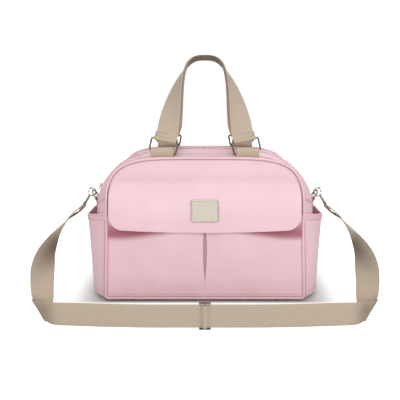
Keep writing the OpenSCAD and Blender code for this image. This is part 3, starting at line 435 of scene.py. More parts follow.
# Webbing threaded over the middle bar of the strap's adjuster: a short roll of the same webbing, which rises
# through the first slot, rounds the bar and goes back down through the second.
bar_y = run_y - (web_thick / 2 + gap + wire)
bend = arc(0, 180, 13)
roll = np.array([0.0, bar_y, run_z]) + loop_r * (-np.cos(bend) * [1.0, 0, 0] - np.sin(bend) * [0, 1.0, 0])
foot = np.array([[-5.6, run_y - 1.9, run_z], [-4.2, run_y - 2.1, run_z]])
roll = np.vstack([foot, roll[1:-1], foot[::-1] * [-1, 1, 1]])
points, faces, chart = ribbon(curve_through(with_half(roll, [0, 0, -18.6]), 2), web_thick)
sew("adjuster_roll", (points, faces), webbing, "strap_adjuster", chart=chart)


# Base: a leatherette bottom panel with a stiffening board inside and four small feet riveted through both.
# The panel is cut to the plan of the bag and turned up into the bottom piping.
base_z, base_half, top_half = 5.0, 92.0, 82.0
panel = panel_half, panel_top, panel_round = 162.5, 245.0, 4.8
crest_top = 255.0
crest = 193.5, crest_top, 2.9
shoulder_z, flare, flare_run = 123.0, 5.0, 115.3


def half_depth(z):
    """Half depth of the bag, which narrows evenly from 92 mm at the base to 82 mm at the panels' top."""
    return base_half - (base_half - top_half) * (np.asarray(z, float) - base_z) / (panel_top - base_z)


def width_at(z, half, top, roundness):
    """Half width at height z: straight up to the shoulder, then a superellipse up to the top."""
    rise = np.clip((np.asarray(z, float) - shoulder_z) / (top - shoulder_z), 0.0, 1.0)
    return half * (1.0 - rise ** roundness) ** (1.0 / roundness)


def panel_x(z):
    """Half width of the front and back panels, which flare by 5 mm from the shoulder down to the base."""
    return width_at(z, *panel) + flare * np.clip((shoulder_z - np.asarray(z, float)) / flare_run, 0.0, None)


def squareness(z):
    """Power that shapes the side's swell at height z: it falls from 4.3 at the base, nearly square, to 2.15."""
    return 4.3 - 2.15 * np.asarray(z, float) / crest_top


def gusset_x(z, v):
    """Half width of the bag at height z and share v of its depth: the panel's, swelling to the crest's as
    1 - |v|^n, where n is the squareness there."""
    return panel_x(z) + (width_at(z, *crest) - panel_x(z)) * (1.0 - np.abs(v) ** squareness(z))


def edged(a, b, n, lip=0.012):
    """Steps from a to b with one extra step close to each end, so that a rolled edge stays crisp."""
    s = np.linspace(0.0, 1.0, n)
    return a + (b - a) * np.concatenate([[0.0, lip], s[1:-1], [1.0 - lip, 1.0]])


def slab(outer, inner, bulge=0.45, rolls=3):
    """Closed sheet between two grids. Its edge is rolled: from the outer rim to the inner rim on half an ellipse
    that stands out by bulge times half the thickness."""
    m, n = outer.shape[:2]
    a = np.arange(m * n).reshape(m, n)
    rim = np.concatenate([a[0, :-1], a[:-1, -1], a[-1, :0:-1], a[:0:-1, 0]])
    out = np.zeros((m, n, 3))
    out[0] += unit(outer[0] - outer[1])
    out[-1] += unit(outer[-1] - outer[-2])
    out[:, 0] += unit(outer[:, 0] - outer[:, 1])
    out[:, -1] += unit(outer[:, -1] - outer[:, -2])
    out = unit(out).reshape(-1, 3)[rim]
    top, low = outer.reshape(-1, 3), inner.reshape(-1, 3)
    half = (top[rim] - low[rim]) / 2
    turn = (np.arange(1, rolls + 1) * np.pi / (rolls + 1))[:, None, None]
    thick = np.linalg.norm(half, axis=1, keepdims=True)
    edge = (top[rim] + low[rim]) / 2 + np.cos(turn) * half + np.sin(turn) * bulge * thick * out
    k, r = m * n, len(rim)
    loops = np.vstack([rim, 2 * k + np.arange(rolls * r).reshape(rolls, r), rim + k])
    ahead = np.roll(loops, -1, axis=1)
    sides = np.stack([ahead[:-1], loops[:-1], loops[1:], ahead[1:]], -1).reshape(-1, 4)
    points = np.vstack([top, low, edge.reshape(-1, 3)])
    return points, right_way_out(points, [grid_quads(m, n), grid_quads(m, n)[:, ::-1] + k, sides])


def leatherette(name, deep, light, grain_mm, rough):
    """Embossed polyurethane leatherette: a fine pebble grain over a soft film, smooth to the hand. The eye sees a
    broad satin sheen and a slow drift of tone, and a painted shade colour darkens creases, recesses and shadowed
    spots. The pebbles are about 0.9 mm in life and are drawn at grain_mm so that they show."""
    drift_mm, film_mm = 45.45, 2.632
    made, tree = new_finish(name)
    spot = add_node(tree, "TexCoord").outputs["Object"]
    pebble = add_node(tree, "TexVoronoi", {"Vector": spot, "Scale": 1000.0 / grain_mm, "Randomness": 0.9},
                      feature="SMOOTH_F1")
    drift = add_node(tree, "TexNoise", {"Vector": spot, "Scale": 1000.0 / drift_mm, "Detail": 3.0})
    film = add_node(tree, "TexNoise", {"Vector": spot, "Scale": 1000.0 / film_mm, "Detail": 4.0})
    tone = add_node(tree, "Math", {0: pebble.outputs["Distance"], 1: -0.25, 2: drift.outputs["Fac"]},
                    operation="MULTIPLY_ADD")
    satin = add_node(tree, "MapRange", {"Value": film.outputs["Fac"], "To Min": rough - 0.07, "To Max": rough + 0.09})
    height = add_node(tree, "Math", {0: film.outputs["Fac"], 1: 0.5, 2: pebble.outputs["Distance"]},
                      operation="MULTIPLY_ADD")
    # 9a4453 is the painted shade colour for creases, recesses and shadowed spots.
    dyed(tree, tone, deep, light, {"Roughness": satin, "IOR": 1.47, "Specular IOR Level": 0.3, "Coat Weight": 0.03,
                                   "Coat Roughness": 0.4}, (height, 0.16, 0.0005), crease_shade="#9a4453", sunk=True)
    return made


pink = leatherette("embossed_leatherette_pink", "#e5c0c8", "#efd0d6", 1.5, 0.56)
pink_trim = leatherette("embossed_leatherette_trim", "#e2b8c1", "#ecc8cf", 1.3, 0.52)

skin = 2.4
s, v = edged(-1, 1, 41)[:, None], 0.97 * np.sin(np.linspace(-np.pi / 2, np.pi / 2, 49))[None, :]
plan = stacked(s * gusset_x(base_z + skin, v), v * half_depth(base_z), base_z)
bottom = slab(plan, plan + [0, 0, skin])
sew("bottom_leatherette", bottom, pink_trim, "bag", ["bottom_panel"])

# Grey fibreboard: pressed, matt, with a speckle of fibres of about 1.4 mm. It hides under the lining.
fibreboard = speckled("pressed_fibreboard", "#5c5854", "#8a857f", 1.429, 5.0, {"Roughness": 0.9})
finish_node("base_board", fibreboard)
finish_node("base_feet", nickel)


# Front and back panels: padded leatherette, cut to the bag's outline, puffing a little towards the middle and
# drawn down into the piping all round.
panel_foot = 10.0


def soft(p, q, size, seed):
    """Gentle unevenness between about -1 and 1: four sine waves in different directions, about size long."""
    rng = np.random.default_rng(seed)
    turn, phase = rng.uniform(0, np.pi, 4), rng.uniform(0, 2 * np.pi, 4)
    length = size * rng.uniform(0.75, 1.6, 4)
    return sum(np.sin(2 * np.pi * (np.cos(a) * p + np.sin(a) * q) / d + f)
               for a, d, f in zip(turn, length, phase)) / 2.6


def across_bag(form, axis):
    """The same form on the other side of the bag: axis 0 swaps left and right, axis 1 front and back."""
    points = form[0] * np.where(np.arange(3) == axis, -1.0, 1.0)
    return points, right_way_out(points, form[1])


def edge_room(x, z):
    """About how far a point of the panel lies inside its outline: from the superellipse, and up from the base."""
    wide = panel_half + flare * np.clip((shoulder_z - z) / flare_run, 0, None)
    rise = np.clip((z - shoulder_z) / (panel_top - shoulder_z), 0, None)
    q = (np.abs(x / wide) ** panel_round + rise ** panel_round) ** (1 / panel_round)
    return np.minimum((1.0 - q) * 140.0, z - panel_foot)


def on_face(shade, form):
    """Painted shade for each point of a slab: as shade says on its outer face, and none elsewhere."""
    return np.concatenate([shade.ravel(), np.zeros(len(form[0]) - shade.size)])


def panel_form(puffed):
    """Panel grid: x is a share of the width at each height, y the half depth plus a puff that dies out to the edge
    as 1 - exp(-room / 9 mm)."""
    turn = np.radians(np.linspace(2, 87.5, 40))
    crown = shoulder_z + (panel_top - shoulder_z) * np.sin(turn) ** (2 / panel_round)
    z = np.concatenate([edged(panel_foot, shoulder_z, 30)[:-2], crown])[:, None]
    x = edged(-1, 1, 61, 0.006)[None, :] * (panel_x(z) + 1.2)
    room = np.maximum(edge_room(x, z) + 0.4, 0.0)
    puff = puffed(z) * (1.0 - np.exp(-room / 9.0)) * (1.0 + 0.16 * soft(x, z, 120.0, 3))
    form = slab(stacked(x, -half_depth(z) - puff, z), stacked(x, -half_depth(z) + skin, z), bulge=0.2)
    # Painted shade along the edge, where the panel is drawn down into the piping.
    return form, on_face(0.4 * np.exp(-(room / 1.1) ** 2), form)


flap_top = 206.0
front, front_edge_shade = panel_form(lambda z: 2.0 * ease((z - flap_top) / 16.0))
back, back_edge_shade = panel_form(lambda z: 3.2 + 0.0 * z)
sew("front_leatherette", front, pink, "bag", ["front_panel"], seam=front_edge_shade)
sew("back_leatherette", across_bag(back, 1), pink, "bag", ["back_panel"], seam=back_edge_shade)


# Piping: a cord of 5 mm in a leatherette cover, sewn between panel and gusset all the way round front and back.
# The cover is folded round the cord, so a seam lies in the groove on either side of it.
def outline(u, half, top, roundness, spread=0.0):
    """Outline of the bag from the left foot (-1) over the crown (0) to the right foot (1): a superellipse over the
    top for |u| < 0.7, then down to the base, going out by spread on the way."""
    a = np.abs(u)
    turn = np.pi / 2 * (1.0 - np.minimum(a / 0.7, 1.0))
    down = np.clip((a - 0.7) / 0.3, 0.0, None)
    x = np.sign(u) * (half * np.clip(np.cos(turn), 0, None) ** (2 / roundness) + spread * down)
    z = shoulder_z + (top - shoulder_z) * np.sin(turn) ** (2 / roundness) - flare_run * down
    return np.stack([x, z], -1)


def sew_both(name, form, axis, material, body, node, chart=None, seam=None, hands=None):
    """Sews a form and the same form across the bag. Braces in the names stand for the hand: left and right
    across axis 0, front and back across axis 1, unless other hands are given."""
    hands = hands or (("left", "right"), ("front", "back"))[axis]
    for hand, one in zip(hands, (form, across_bag(form, axis))):
        sew(name.format(hand), one, material, body.format(hand), [node.format(hand)] if node else (), chart,
            seam)


piping_r, piping_out, piping_foot, corner_r = 2.4, 3.0, 10.4, 5.0
turn = np.linspace(-0.7, 0.7, 181)
step = outline(turn + 0.0015, *panel) - outline(turn - 0.0015, *panel)
over = outline(turn, *panel) + piping_out * unit(np.stack([-step[:, 1], step[:, 0]], -1))
low, side = piping_foot - piping_out, panel_x(piping_foot) + piping_out
fall = np.linspace(118, 20, 16)
flank = np.stack([panel_x(fall) + piping_out, fall], -1)
fillet = np.radians(np.linspace(0, 90, 9))
right = np.stack([side - corner_r + corner_r * np.cos(fillet), low + corner_r - corner_r * np.sin(fillet)], -1)
loop = np.vstack([over, flank, right, [[x, low] for x in np.linspace(155, -155, 41)],
                  right[::-1] * [-1, 1], flank[::-1] * [-1, 1]])
way = unit(np.roll(loop, -1, axis=0) - np.roll(loop, 1, axis=0))
out = np.stack([-way[:, 1], np.zeros(len(way)), way[:, 0]], -1)
centre = np.stack([loop[:, 0], -half_depth(loop[:, 1]) - piping_r / 2, loop[:, 1]], -1)
length = np.cumsum(np.linalg.norm(np.roll(loop, -1, axis=0) - loop, axis=1))
around = np.linspace(0, 2 * np.pi, 12, endpoint=False)
size = (piping_r * (1.0 + 0.02 * np.sin(2 * np.pi * length / 9.0)))[:, None, None]
rings = centre[:, None] + size * (np.cos(around)[:, None] * out[:, None]
                                  + np.sin(around)[:, None] * [0.0, 1.0, 0.0])
points = rings.reshape(-1, 3)
cord = points, right_way_out(points, [grid_quads(len(loop), 12, True, True)])
# Painted shade in the grooves on either side of the cord.
groove_shade = np.tile(0.9 * np.abs(np.cos(around)) ** 8, len(loop))
sew_both("{}_piping_cord", cord, 1, pink, "bag", "{}_piping", seam=groove_shade)


# Side gussets: one strip of leatherette on each side, from the base up to the end of the zip, gathered slightly
# where it is sewn to the piping, and soft enough to sink a little between its seams.
def gusset_at(u, v):
    """Gusset surface: from the panel's outline at v = -1 and 1 it swells to the crest line as 1 - |v|^n, where n
    is the squareness there."""
    e, c = outline(u, *panel, flare), outline(u, *crest)
    p = e + (c - e) * (1.0 - np.abs(v) ** squareness(c[..., 1]))[..., None]
    return np.stack([p[..., 0], v * half_depth(e[..., 1]), p[..., 1]], -1)


seam_v = 1.0 - 2.7 / top_half
zip_end_u, leaf_u, zip_v, seam_in = 0.611791, 0.214994, 7.5 / top_half, 58.0 / top_half
bowed = seam_v * np.sin(np.linspace(-np.pi / 2, np.pi / 2, 61))
mean_half = 85.0


def soft_gusset(u, v):
    """Gusset surface with gathers along both seams, dying out over 9 mm, and a slow unevenness between them.
    Returns the points, the normals and the painted shade of each point: darker along both seams and down inside the
    side pocket."""
    u, v = np.broadcast_arrays(u, v)
    flat = gusset_at(u, v)
    n = unit(np.cross(gusset_at(u, v + 0.002) - gusset_at(u, v - 0.002),
                      gusset_at(u + 0.002, v) - gusset_at(u - 0.002, v)))
    n = n * np.sign(n[..., :1] * flat[..., :1] + n[..., 2:] * (flat[..., 2:] - 110.0))
    room = (seam_v - np.abs(v)) * mean_half
    run = 620.0 * u
    gather = np.sin(2 * np.pi * run / 13.0 + 2.0 * np.sin(run / 31.0))
    gather = np.exp(-room / 9.0) * (1 - np.exp(-room / 2.0)) * gather
    lift = 0.7 * gather + 0.5 * soft(run, top_half * v, 95.0, 8) * (1 - np.exp(-room / 16.0))
    # Painted shade: darker down inside the side pocket, below 150 mm, and in the seams.
    shade = 0.6 * ease((150.0 - flat[..., 2]) / 10.0)
    return flat + n * lift[..., None], n, np.maximum(shade, 0.4 * np.exp(-(room / 1.1) ** 2))


outer, n, crease_shade = soft_gusset(edged(-1, -zip_end_u, 64)[:, None], bowed)
gusset = slab(outer, outer - skin * n, bulge=0.2)
sew_both("gusset_leatherette_{}", gusset, 0, pink, "bag", "gusset_{}", seam=on_face(crease_shade, gusset))

# Spun polyester thread in the bag's own pink, a little deeper than the leatherette, its twist drawn at 1.1 mm too.
thread_pink = speckled("polyester_thread_pink", "#bb6474", "#d28492", 1.111, 2.0,
                       {"Roughness": 0.55, "Specular IOR Level": 0.4})
rows = []
for down in (0.006, 0.0135):
    line, n, _ = soft_gusset(-zip_end_u - down, np.linspace(-0.95, 0.95, 60))
    row = stitch_row(line, n)
    rows += [row, across_bag(row, 0)]
sew("gusset_stitches", join(*rows), thread_pink, "bag")


# Zipped top: fixed strips of leatherette along the piping, two leaves that open along the crown, and the zip
# between them. Tape and teeth run over both shoulders to the gussets, where the slider is parked on the left.
zip_start_u = -zip_end_u + 0.00125
shoulder = edged(zip_start_u, -leaf_u, 26, 0.004)
crown = np.linspace(-leaf_u + 0.0009, leaf_u - 0.0009, 81)
u = np.concatenate([shoulder, crown, -shoulder[::-1]])[:, None]
reach = np.where(np.abs(u) < leaf_u - 0.0004, seam_in, zip_v)
outer, n, crease_shade = soft_gusset(u, -seam_v + edged(0.0, 1.0, 17, 0.02) * (seam_v - reach))
strip = slab(outer, outer - skin * n, bulge=0.1)
sew_both("zip_strip_{}", strip, 1, pink, "bag", "zip_panel_{}", seam=on_face(crease_shade, strip))

leaf_end = leaf_u - 0.0022
outer, n, _ = soft_gusset(edged(-leaf_end, leaf_end, 81, 0.004)[:, None],
                          edged(-seam_in + 0.3 / top_half, -zip_v, 19, 0.02))
leaf = slab(outer, outer - skin * n, bulge=0.1)
sew_both("zip_leaf_leatherette_{}", leaf, 1, pink, "zip_leaf_{}", "zip_flap_{}")
zip_row, seam_row = -zip_v - 2.6 / top_half, -seam_in + 3.2 / top_half
rows = []
for inset in (zip_row, seam_row):
    line, n, _ = soft_gusset(np.linspace(-leaf_end + 0.006, leaf_end - 0.006, 120), inset)
    rows.append(stitch_row(line, n))
sew_both("leaf_stitches_{}", join(*rows), 1, thread_pink, "zip_leaf_{}", "")
line, n, _ = soft_gusset(np.linspace(-zip_end_u + 0.008, -leaf_u, 70), zip_row)
row = stitch_row(line, n)
rows = [row, across_bag(row, 0), across_bag(row, 1), across_bag(across_bag(row, 0), 1)]
sew("shoulder_stitches", join(*rows), thread_pink, "bag")

# Woven polyester zip tape, dyed to match: fine herringbone, matt, a shade deeper than the leatherette.
# Herringbone of about 0.8 mm, drawn at 1.6 mm so that it shows.
tape_cloth, tree = new_finish("woven_polyester_zip_tape")
twill_mm = 1.6
place = add_node(tree, "TexCoord")
twill = add_node(tree, "TexWave", {"Vector": place.outputs["Object"], "Scale": one_wave * 1000.0 / twill_mm,
                                   "Distortion": 1.0}, bands_direction="DIAGONAL")
dyed(tree, twill.outputs["Fac"], "#c88f9d", "#dba8b5", {"Roughness": 0.8}, (twill.outputs["Fac"], 0.4, 0.0003))
tape_out, tape_in = zip_v + 8 / top_half, 1.2 / top_half
leaf_tape = np.linspace(-leaf_end, leaf_end, 81), np.linspace(-tape_out, -tape_in, 7)
shoulder_tape = np.linspace(zip_start_u, -leaf_u, 40), np.linspace(-tape_out, tape_out, 13)
for (u, v), axis, body in ((leaf_tape, 1, "zip_leaf_{}"), (shoulder_tape, 0, "bag")):
    flat, n, _ = soft_gusset(u[:, None], v)
    tape = slab(flat - 2.75 * n, flat - 3.7 * n, bulge=0.1)
    sew_both("zip_tape_cloth_{}", tape, axis, tape_cloth, body, "zip_tape_{}")
for name in ("zip_teeth_front", "zip_teeth_back", "zip_teeth_left", "zip_teeth_right", "zip_slider", "zip_puller"):
    finish_node(name, nickel)


# Lining: a loose cup of plain woven polyester inside the shell, sewn in under the zip. It stands a few millimetres
# inside the walls and over the board.
def lining_loop(z, inset):
    """Outline of the lining at height z: straight along both panels, bowed with the gussets at the sides."""
    t = np.linspace(-0.93, 0.93, 20)
    front, side = panel_x(z) - inset, half_depth(z) - inset
    flank = gusset_x(np.full(20, z), t) - inset
    one = np.concatenate([np.stack([t * front, np.full(20, -side)], -1), np.stack([flank, t * side], -1)])
    ring = np.concatenate([one, -one])
    return np.column_stack([ring, np.full(len(ring), z)])


lining_out, lining_in = 12.0, 13.0
heights = np.concatenate([[lining_out], np.linspace(20.0, 158.0, 22)])
wall_out = np.stack([lining_loop(z, 3.8) for z in heights])
wall_in = np.stack([lining_loop(z, 4.8) for z in heights])
wall_in[0, :, 2] = lining_in
floor_share = np.linspace(0.04, 1.0, 10)[:, None, None] * [1.0, 1.0, 0.0]
floor_out = floor_share * wall_out[0] + [0.0, 0.0, lining_out]
floor_in = floor_share * wall_in[0] + [0.0, 0.0, lining_in]
cup = tube(np.concatenate([floor_out, wall_out[1:], wall_in[:0:-1], floor_in[::-1]]))
# Plain woven polyester: pale, thin and slightly silky, with the small check of its weave, drawn at 1.5 mm.
lining_cloth, tree = new_finish("woven_polyester_lining")
check_mm = 1.5
place = add_node(tree, "TexCoord")
warp, weft = (
    add_node(tree, "TexWave", {"Vector": place.outputs["Object"], "Scale": one_wave * 1000.0 / check_mm,
                               "Distortion": 0.6}, bands_direction=way) for way in "ZX")
check = add_node(tree, "Math", {0: warp.outputs["Fac"], 1: 0.5, 2: weft.outputs["Fac"]}, operation="MULTIPLY_ADD")
dyed(tree, check, "#d8d2cd", "#ebe6e1", {"Roughness": 0.6, "Sheen Weight": 0.1}, (check, 0.3, 0.0002))
sew("lining_cup", cup, lining_cloth, "bag", ["lining"])


# Front pockets: two padded leatherette pockets, sewn in under the piping at the side and the base. They meet at an
# inverted pleat, whose folded strip shows in the slit, and swell towards it under the flap.
mouth_z, pocket_foot = 152.0, 9.2


def pocket_off(x, z):
    """How far the pocket stands off the panel: eased up from the side seam, growing with height as
    1 - depth^2 below the mouth, and drawn in a little at the pleat."""
    fill = np.clip(1.0 - ((mouth_z - z) / 138.6) ** 2, 0.0, None)
    return 14.0 * ease((panel_x(z) - 0.6 - x) / 110.0) ** 0.8 * fill * (0.72 + 0.28 * ease((x - 3.5) / 26.0))


def slit_at(z):
    """Half width of the pleat's slit: closed at its foot, widest half way up, drawn in again at the mouth."""
    t = (z - 28.0) / 62.0
    return 0.15 + 3.35 * (ease(t) - 0.6 * ease(t - 1.0))


z = edged(pocket_foot, mouth_z, 50, 0.01)[:, None]
slit, side = slit_at(z), panel_x(z) + 1.3
x = slit + (side - slit) * edged(0.0, 1.0, 61, 0.008)[None, :]
sag = 0.55 * soft(x, z, 130.0, 21) * ease((side - x) / 30.0) * ease((z - 13.4) / 30.0)
tug = 0.27 * np.exp((slit - x) / 16.0) * np.sin((z - 20.0) / 9.0) * ease((z - 30.0) / 30.0)
outer = stacked(x, -half_depth(z) - 2.7 - pocket_off(x, z) - sag - tug, z)
pocket = slab(outer, outer + [0.0, 2.2, 0.0], bulge=0.35)
# Painted shadow under the flap's outer corners, fading upwards and towards the pleat, and painted shade along the
# pocket's side and base seams.
above = z - 126.0 + 20.0 * ease((x - 10.0) / 140.0)
shade = 0.85 * ease((x - 12.0) / 60.0) * ease(above / 13.0) * (1.0 - ease((above - 16.0) / 30.0))
shade = np.maximum(shade, 0.6 * np.exp(-((np.minimum(side - x, z - pocket_foot) - 1.2) / 1.1) ** 2))
sew_both("front_pocket_leatherette_{}", pocket, 0, pink, "bag", "front_pocket_{}",
         seam=on_face(shade, pocket), hands=("right", "left"))
front_of = np.array([0.0, -1.0, 0.0])
row = stitch_row(outer[-1] + (outer[-6] - outer[-1]) * 0.35, front_of)
base_row = stitch_row(outer[3, 2:-3], front_of)
rows = [row, across_bag(row, 0), base_row, across_bag(base_row, 0)]
sew("pocket_stitches", join(*rows), thread_pink, "bag")

z = edged(31.0, 150.0, 36)[:, None]
x = np.linspace(-14.0, 14.0, 21)[None, :]
sink = np.interp(np.abs(x), [0.0, 7.0, 14.0], [2.2, 0.8, 0.0])
rest = np.maximum(pocket_off(np.maximum(np.abs(x), slit_at(z)), z) - 1.3 - sink, 0.0)
fold = stacked(x, -half_depth(z) - 1.3 - rest, z)
strip = slab(fold, fold + [0.0, 0.9, 0.0], bulge=0.2)
# The whole strip takes a painted shade, as it lies down in the slit.
sew("pleat_strip", strip, pink_trim, "bag", ["pocket_pleat"],
    seam=np.full(len(strip[0]), 0.35))
finish_node("snap_sockets", nickel)


# Pocket flap: one padded piece of leatherette with rounded lower corners, bagged out with its lining. Its top edge
# is sewn flat to the panel, so it leaves a soft crease there, and it swells over the pockets to its lower edge.
flap_half, flap_drop, flap_corner = 159.0, 78.5, 22.0
flap_flat = flap_half - flap_corner
end = flap_flat + flap_corner * np.sin(np.radians(np.linspace(0, 90, 12)))
x = np.concatenate([-end[::-1], np.linspace(-flap_flat, flap_flat, 69)[1:-1], end])[:, None]
over = np.clip(np.abs(x) - flap_flat, 0.0, flap_corner)
end = flap_drop - flap_corner - 4.5 * (x / flap_half) ** 2 + np.sqrt(flap_corner ** 2 - over ** 2)
down = edged(0.0, 1.0, 44, 0.012) * end
x = x * np.minimum(1.0, (panel_x(flap_top - down) - 1.8) / flap_half)
t = down / flap_drop
t = t * t / (t + 0.04) * 1.04
stand = 2.7 + 19.0 * (1.0 - (1.0 - t) ** 2.6) * (1.0 - 0.2 * (x / flap_half) ** 2)
stand = stand - 2.45 * (1.0 - ease(down / 20.0)) + 0.35 * soft(x, down, 120.0, 5) * ease(down / 26.0)
thick = 0.15 + 2.25 * ease(down / 22.0)
outer = stacked(x, -half_depth(flap_top - down) - stand, flap_top - down)
flap = slab(outer, outer + stacked(0.0, thick, 0.0), bulge=0.6, rolls=4)
sew("pocket_flap_leatherette", flap, pink, "pocket_flap", ["pocket_flap"])
finish_node("flap_snaps", nickel)


# Name plate: a small cast plate with a bevelled metal rim and a cream enamelled face, left bare. Two prongs behind
# it go through the flap, and it leans with the flap's slope.
def rounded_outline(width, height, corner, steps=7):
    """Outline of a rectangle with round corners, as a closed row of points."""
    a = np.radians(np.linspace(0, 90, steps))
    turned = np.stack([np.cos(a), np.sin(a)], -1) * corner
    quarter = np.array([width / 2 - corner, height / 2 - corner])
    one = quarter + turned
    two = (quarter + turned[::-1]) * [-1, 1]
    return np.vstack([one, two, -one, -two])


plate_at, plate_wide, plate_high, plate_corner = np.array([0.0, -104.593, 163.5]), 46.0, 36.0, 3.0
lean = math.radians(12.9381)
plate_up = np.array([0.0, math.sin(lean), math.cos(lean)])
plate_out = np.array([0.0, -math.cos(lean), math.sin(lean)])
profile = [(0.6, -1.7), (0.0, -1.2), (0.0, 1.1), (0.25, 1.55), (0.7, 1.85), (1.5, 1.9), (1.9, 1.75), (2.2, 1.45),
           (2.6, 1.4), (6.0, 1.45), (11.0, 1.55), (16.5, 1.6)]
rings = []
for inset, high in profile:
    flat = rounded_outline(plate_wide - 2 * inset, plate_high - 2 * inset, max(plate_corner - inset, 0.5))
    rings.append(plate_at + flat[:, :1] * [1.0, 0, 0] + flat[:, 1:] * plate_up + high * plate_out)
plate = tube(np.stack(rings))
# Cream stove enamel: smooth and faintly pearly, with a soft orange-peel ripple of about 3 mm.
enamel = speckled("cream_stove_enamel", "#beb5a8", "#cec5b9", 3.03, 2.0,
                  {"Roughness": 0.5, "Coat Weight": 0.08, "Coat Roughness": 0.3}, relief=(0.15, 0.0004))
bare_plate = sew("bare_name_plate", plate, enamel, "pocket_flap", ["name_plate"])
bare_plate.data.materials.append(nickel)
rim_rings = 7
ring_of = np.minimum(np.arange(len(bare_plate.data.polygons)) // len(rings[0]), len(profile))
bare_plate.data.polygons.foreach_set("material_index", (ring_of < rim_rings).astype(np.int32))


# Side pockets: a leatherette pocket on each gusset for a bottle, sewn in at both seams and the base, with a
# turned hem along its rim held by two rows of stitching. The rim stands open and dips in the middle.
pouch_foot, pouch_high = 8.0, 133.0


def side_at(t, v):
    """Side pocket surface on the left: t goes from the base to the rim, which rises as v^2 towards the seams. The
    pocket stands off the gusset by 2.7 mm plus a full swell, 1 - |v|^4.2, which grows from 5 mm to 13 mm at the
    rim."""
    z = pouch_foot + t * (pouch_high + 14.0 * v * v)
    stand = 2.7 + (5.0 + 8.0 * (z - pouch_foot) / pouch_high) * (1.0 - (np.abs(v) / seam_v) ** 4.2)
    sag = 0.6 * soft(pouch_high * t, mean_half * v, 100.0, 31) * (1.0 - (v / seam_v) ** 8) * ease(t * 4.0)
    gather = 0.5 * np.sin(v * 44.0) * np.exp(-t * 9.0) * ease(t * 30.0)
    return np.stack([-gusset_x(z, v) - stand - sag - gather, v * half_depth(z), z], -1)


t, v = np.broadcast_arrays(edged(0.0, 1.0, 44, 0.01)[:, None], bowed)
outer = side_at(t, v)
pouch = slab(outer, outer + [2.2, 0.0, 0.0], bulge=0.35)
# Painted shade along the pocket's seams and base.
room = np.minimum((seam_v - np.abs(v)) * mean_half, t * pouch_high)
sew_both("side_pocket_leatherette_{}", pouch, 0, pink, "bag", "side_pocket_{}",
         seam=on_face(0.4 * np.exp(-(room / 1.3) ** 2), pouch))
hem_high = 11.0
under = side_at(*np.broadcast_arrays(np.linspace(1 - hem_high / pouch_high, 1.0, 9)[:, None], bowed))
puff = 0.55 + 0.55 * np.sin(np.pi * np.linspace(0, 1, 9))[:, None, None]
hem = slab(under - puff * [1.0, 0.0, 0.0], under - [0.1, 0.0, 0.0], bulge=0.5)
sew_both("side_hem_{}_fold", hem, 0, pink_trim, "bag", "side_hem_{}")
left_of = np.array([-1.0, 0.0, 0.0])
v = np.linspace(-0.94, 0.94, 80)
rows = [stitch_row(side_at(np.full(80, high / pouch_high), v) + out * left_of, left_of)
        for high, out in ((pouch_high - 3.2, 0.95), (pouch_high - 8.4, 0.95), (8.0, 0.0))]
pouch_rows = join(*rows)
sew("side_pocket_stitches", join(pouch_rows, across_bag(pouch_rows, 0)), thread_pink, "bag")


# Handle tabs and rings: four short loops of webbing sewn into the top seam, each round the lower bar of a bent
# wire ring. The rings are drawn steel wire, plated with black nickel.
ring_x, tab_y, tab_pivot, tab_r = 71.0, 69.0, 256.419, 7.2
# Black nickel on drawn wire: nearly black-grey, with thin bright lines where it turns to the light, hazed by
# drawing marks in patches of about 3 mm.
black_nickel = speckled("black_nickel_on_drawn_wire", "#3d3a36", "#67625b", 3.333, 4.0, {"Metallic": 1.0},
                        gloss=(0.2, 0.38))
bend = arc(180, -58, 27)
path = np.vstack([[[0.0, -tab_r, -10.4], [0.0, -tab_r, -7.5], [0.0, -tab_r, -3.8]],
                  tab_r * (np.cos(bend) * [0, 1.0, 0] + np.sin(bend) * [0, 0, 1.0]), [[0.0, 1.2, -8.6]]])
path = path + [-ring_x, -tab_y, tab_pivot]
points, faces, chart = ribbon(curve_through(with_half(path, [web_half, 0, 0]), 2), web_thick)
line = np.linspace(-0.88, 0.88, 14)[:, None] * [web_half, 0, 0] + [-ring_x, -tab_y - 8.0, tab_pivot - 4.6]
row = stitch_row(line, [0.0, -1.0, 0.1])
tab_rows = []
for end, loop, stitched in (("front", (points, faces), row),
                            ("back", across_bag((points, faces), 1), across_bag(row, 1))):
    sew_both(f"tab_webbing_{end}_{{}}", loop, 0, webbing, "bag", f"handle_tab_{end}_{{}}", chart)
    tab_rows += [stitched, across_bag(stitched, 0)]
    for hand in ("left", "right"):
        finish_node(f"handle_ring_{end}_{hand}", black_nickel)
sew("tab_stitches", join(*tab_rows), thread_beige, "bag")


# Handles: a length of webbing on each side, folded round the upper bars of its two rings and sewn down. Each rises
# in an arch that turns a quarter on its way up, so that the flat of the webbing lies in the hand at the top.
handle_h, ring_h, tilt = 162.0, 21.0, math.radians(12)
handle_lean = math.asin((tab_y - web_half - 1.2) / handle_h)
bar = np.array([-ring_x + ring_h * math.sin(tilt), 0.0, ring_h * math.cos(tilt)])
ring_up = np.array([math.sin(tilt), 0.0, math.cos(tilt)])
ring_along = np.array([math.cos(tilt), 0.0, -math.sin(tilt)])
handle_x = -bar[0] - 1.5
b = arc(22.3, 90, 41)
arch = np.hstack([-handle_x * np.clip(np.cos(b), 0, None) ** (2 / 3), 0.0 * b, handle_h * np.sin(b) ** 1.56])
rise = np.gradient(arch, axis=0)
rise[-1] = [1.0, 0.0, 0.0]
inward = unit(np.stack([rise[:, 2], 0.0 * rise[:, 1], -rise[:, 0]], -1))
inward = np.where(b < math.radians(29), unit(inward + ring_along), inward)
twist = np.radians(np.minimum(90.0, 113.0 * (arch[:, 2:] / handle_h - 0.13)))
level = math.radians(8)
half = web_half * (np.cos(twist) * inward - np.sin(twist) * [0.0, math.cos(level), math.sin(level)])
bend = arc(0, 180, 9)
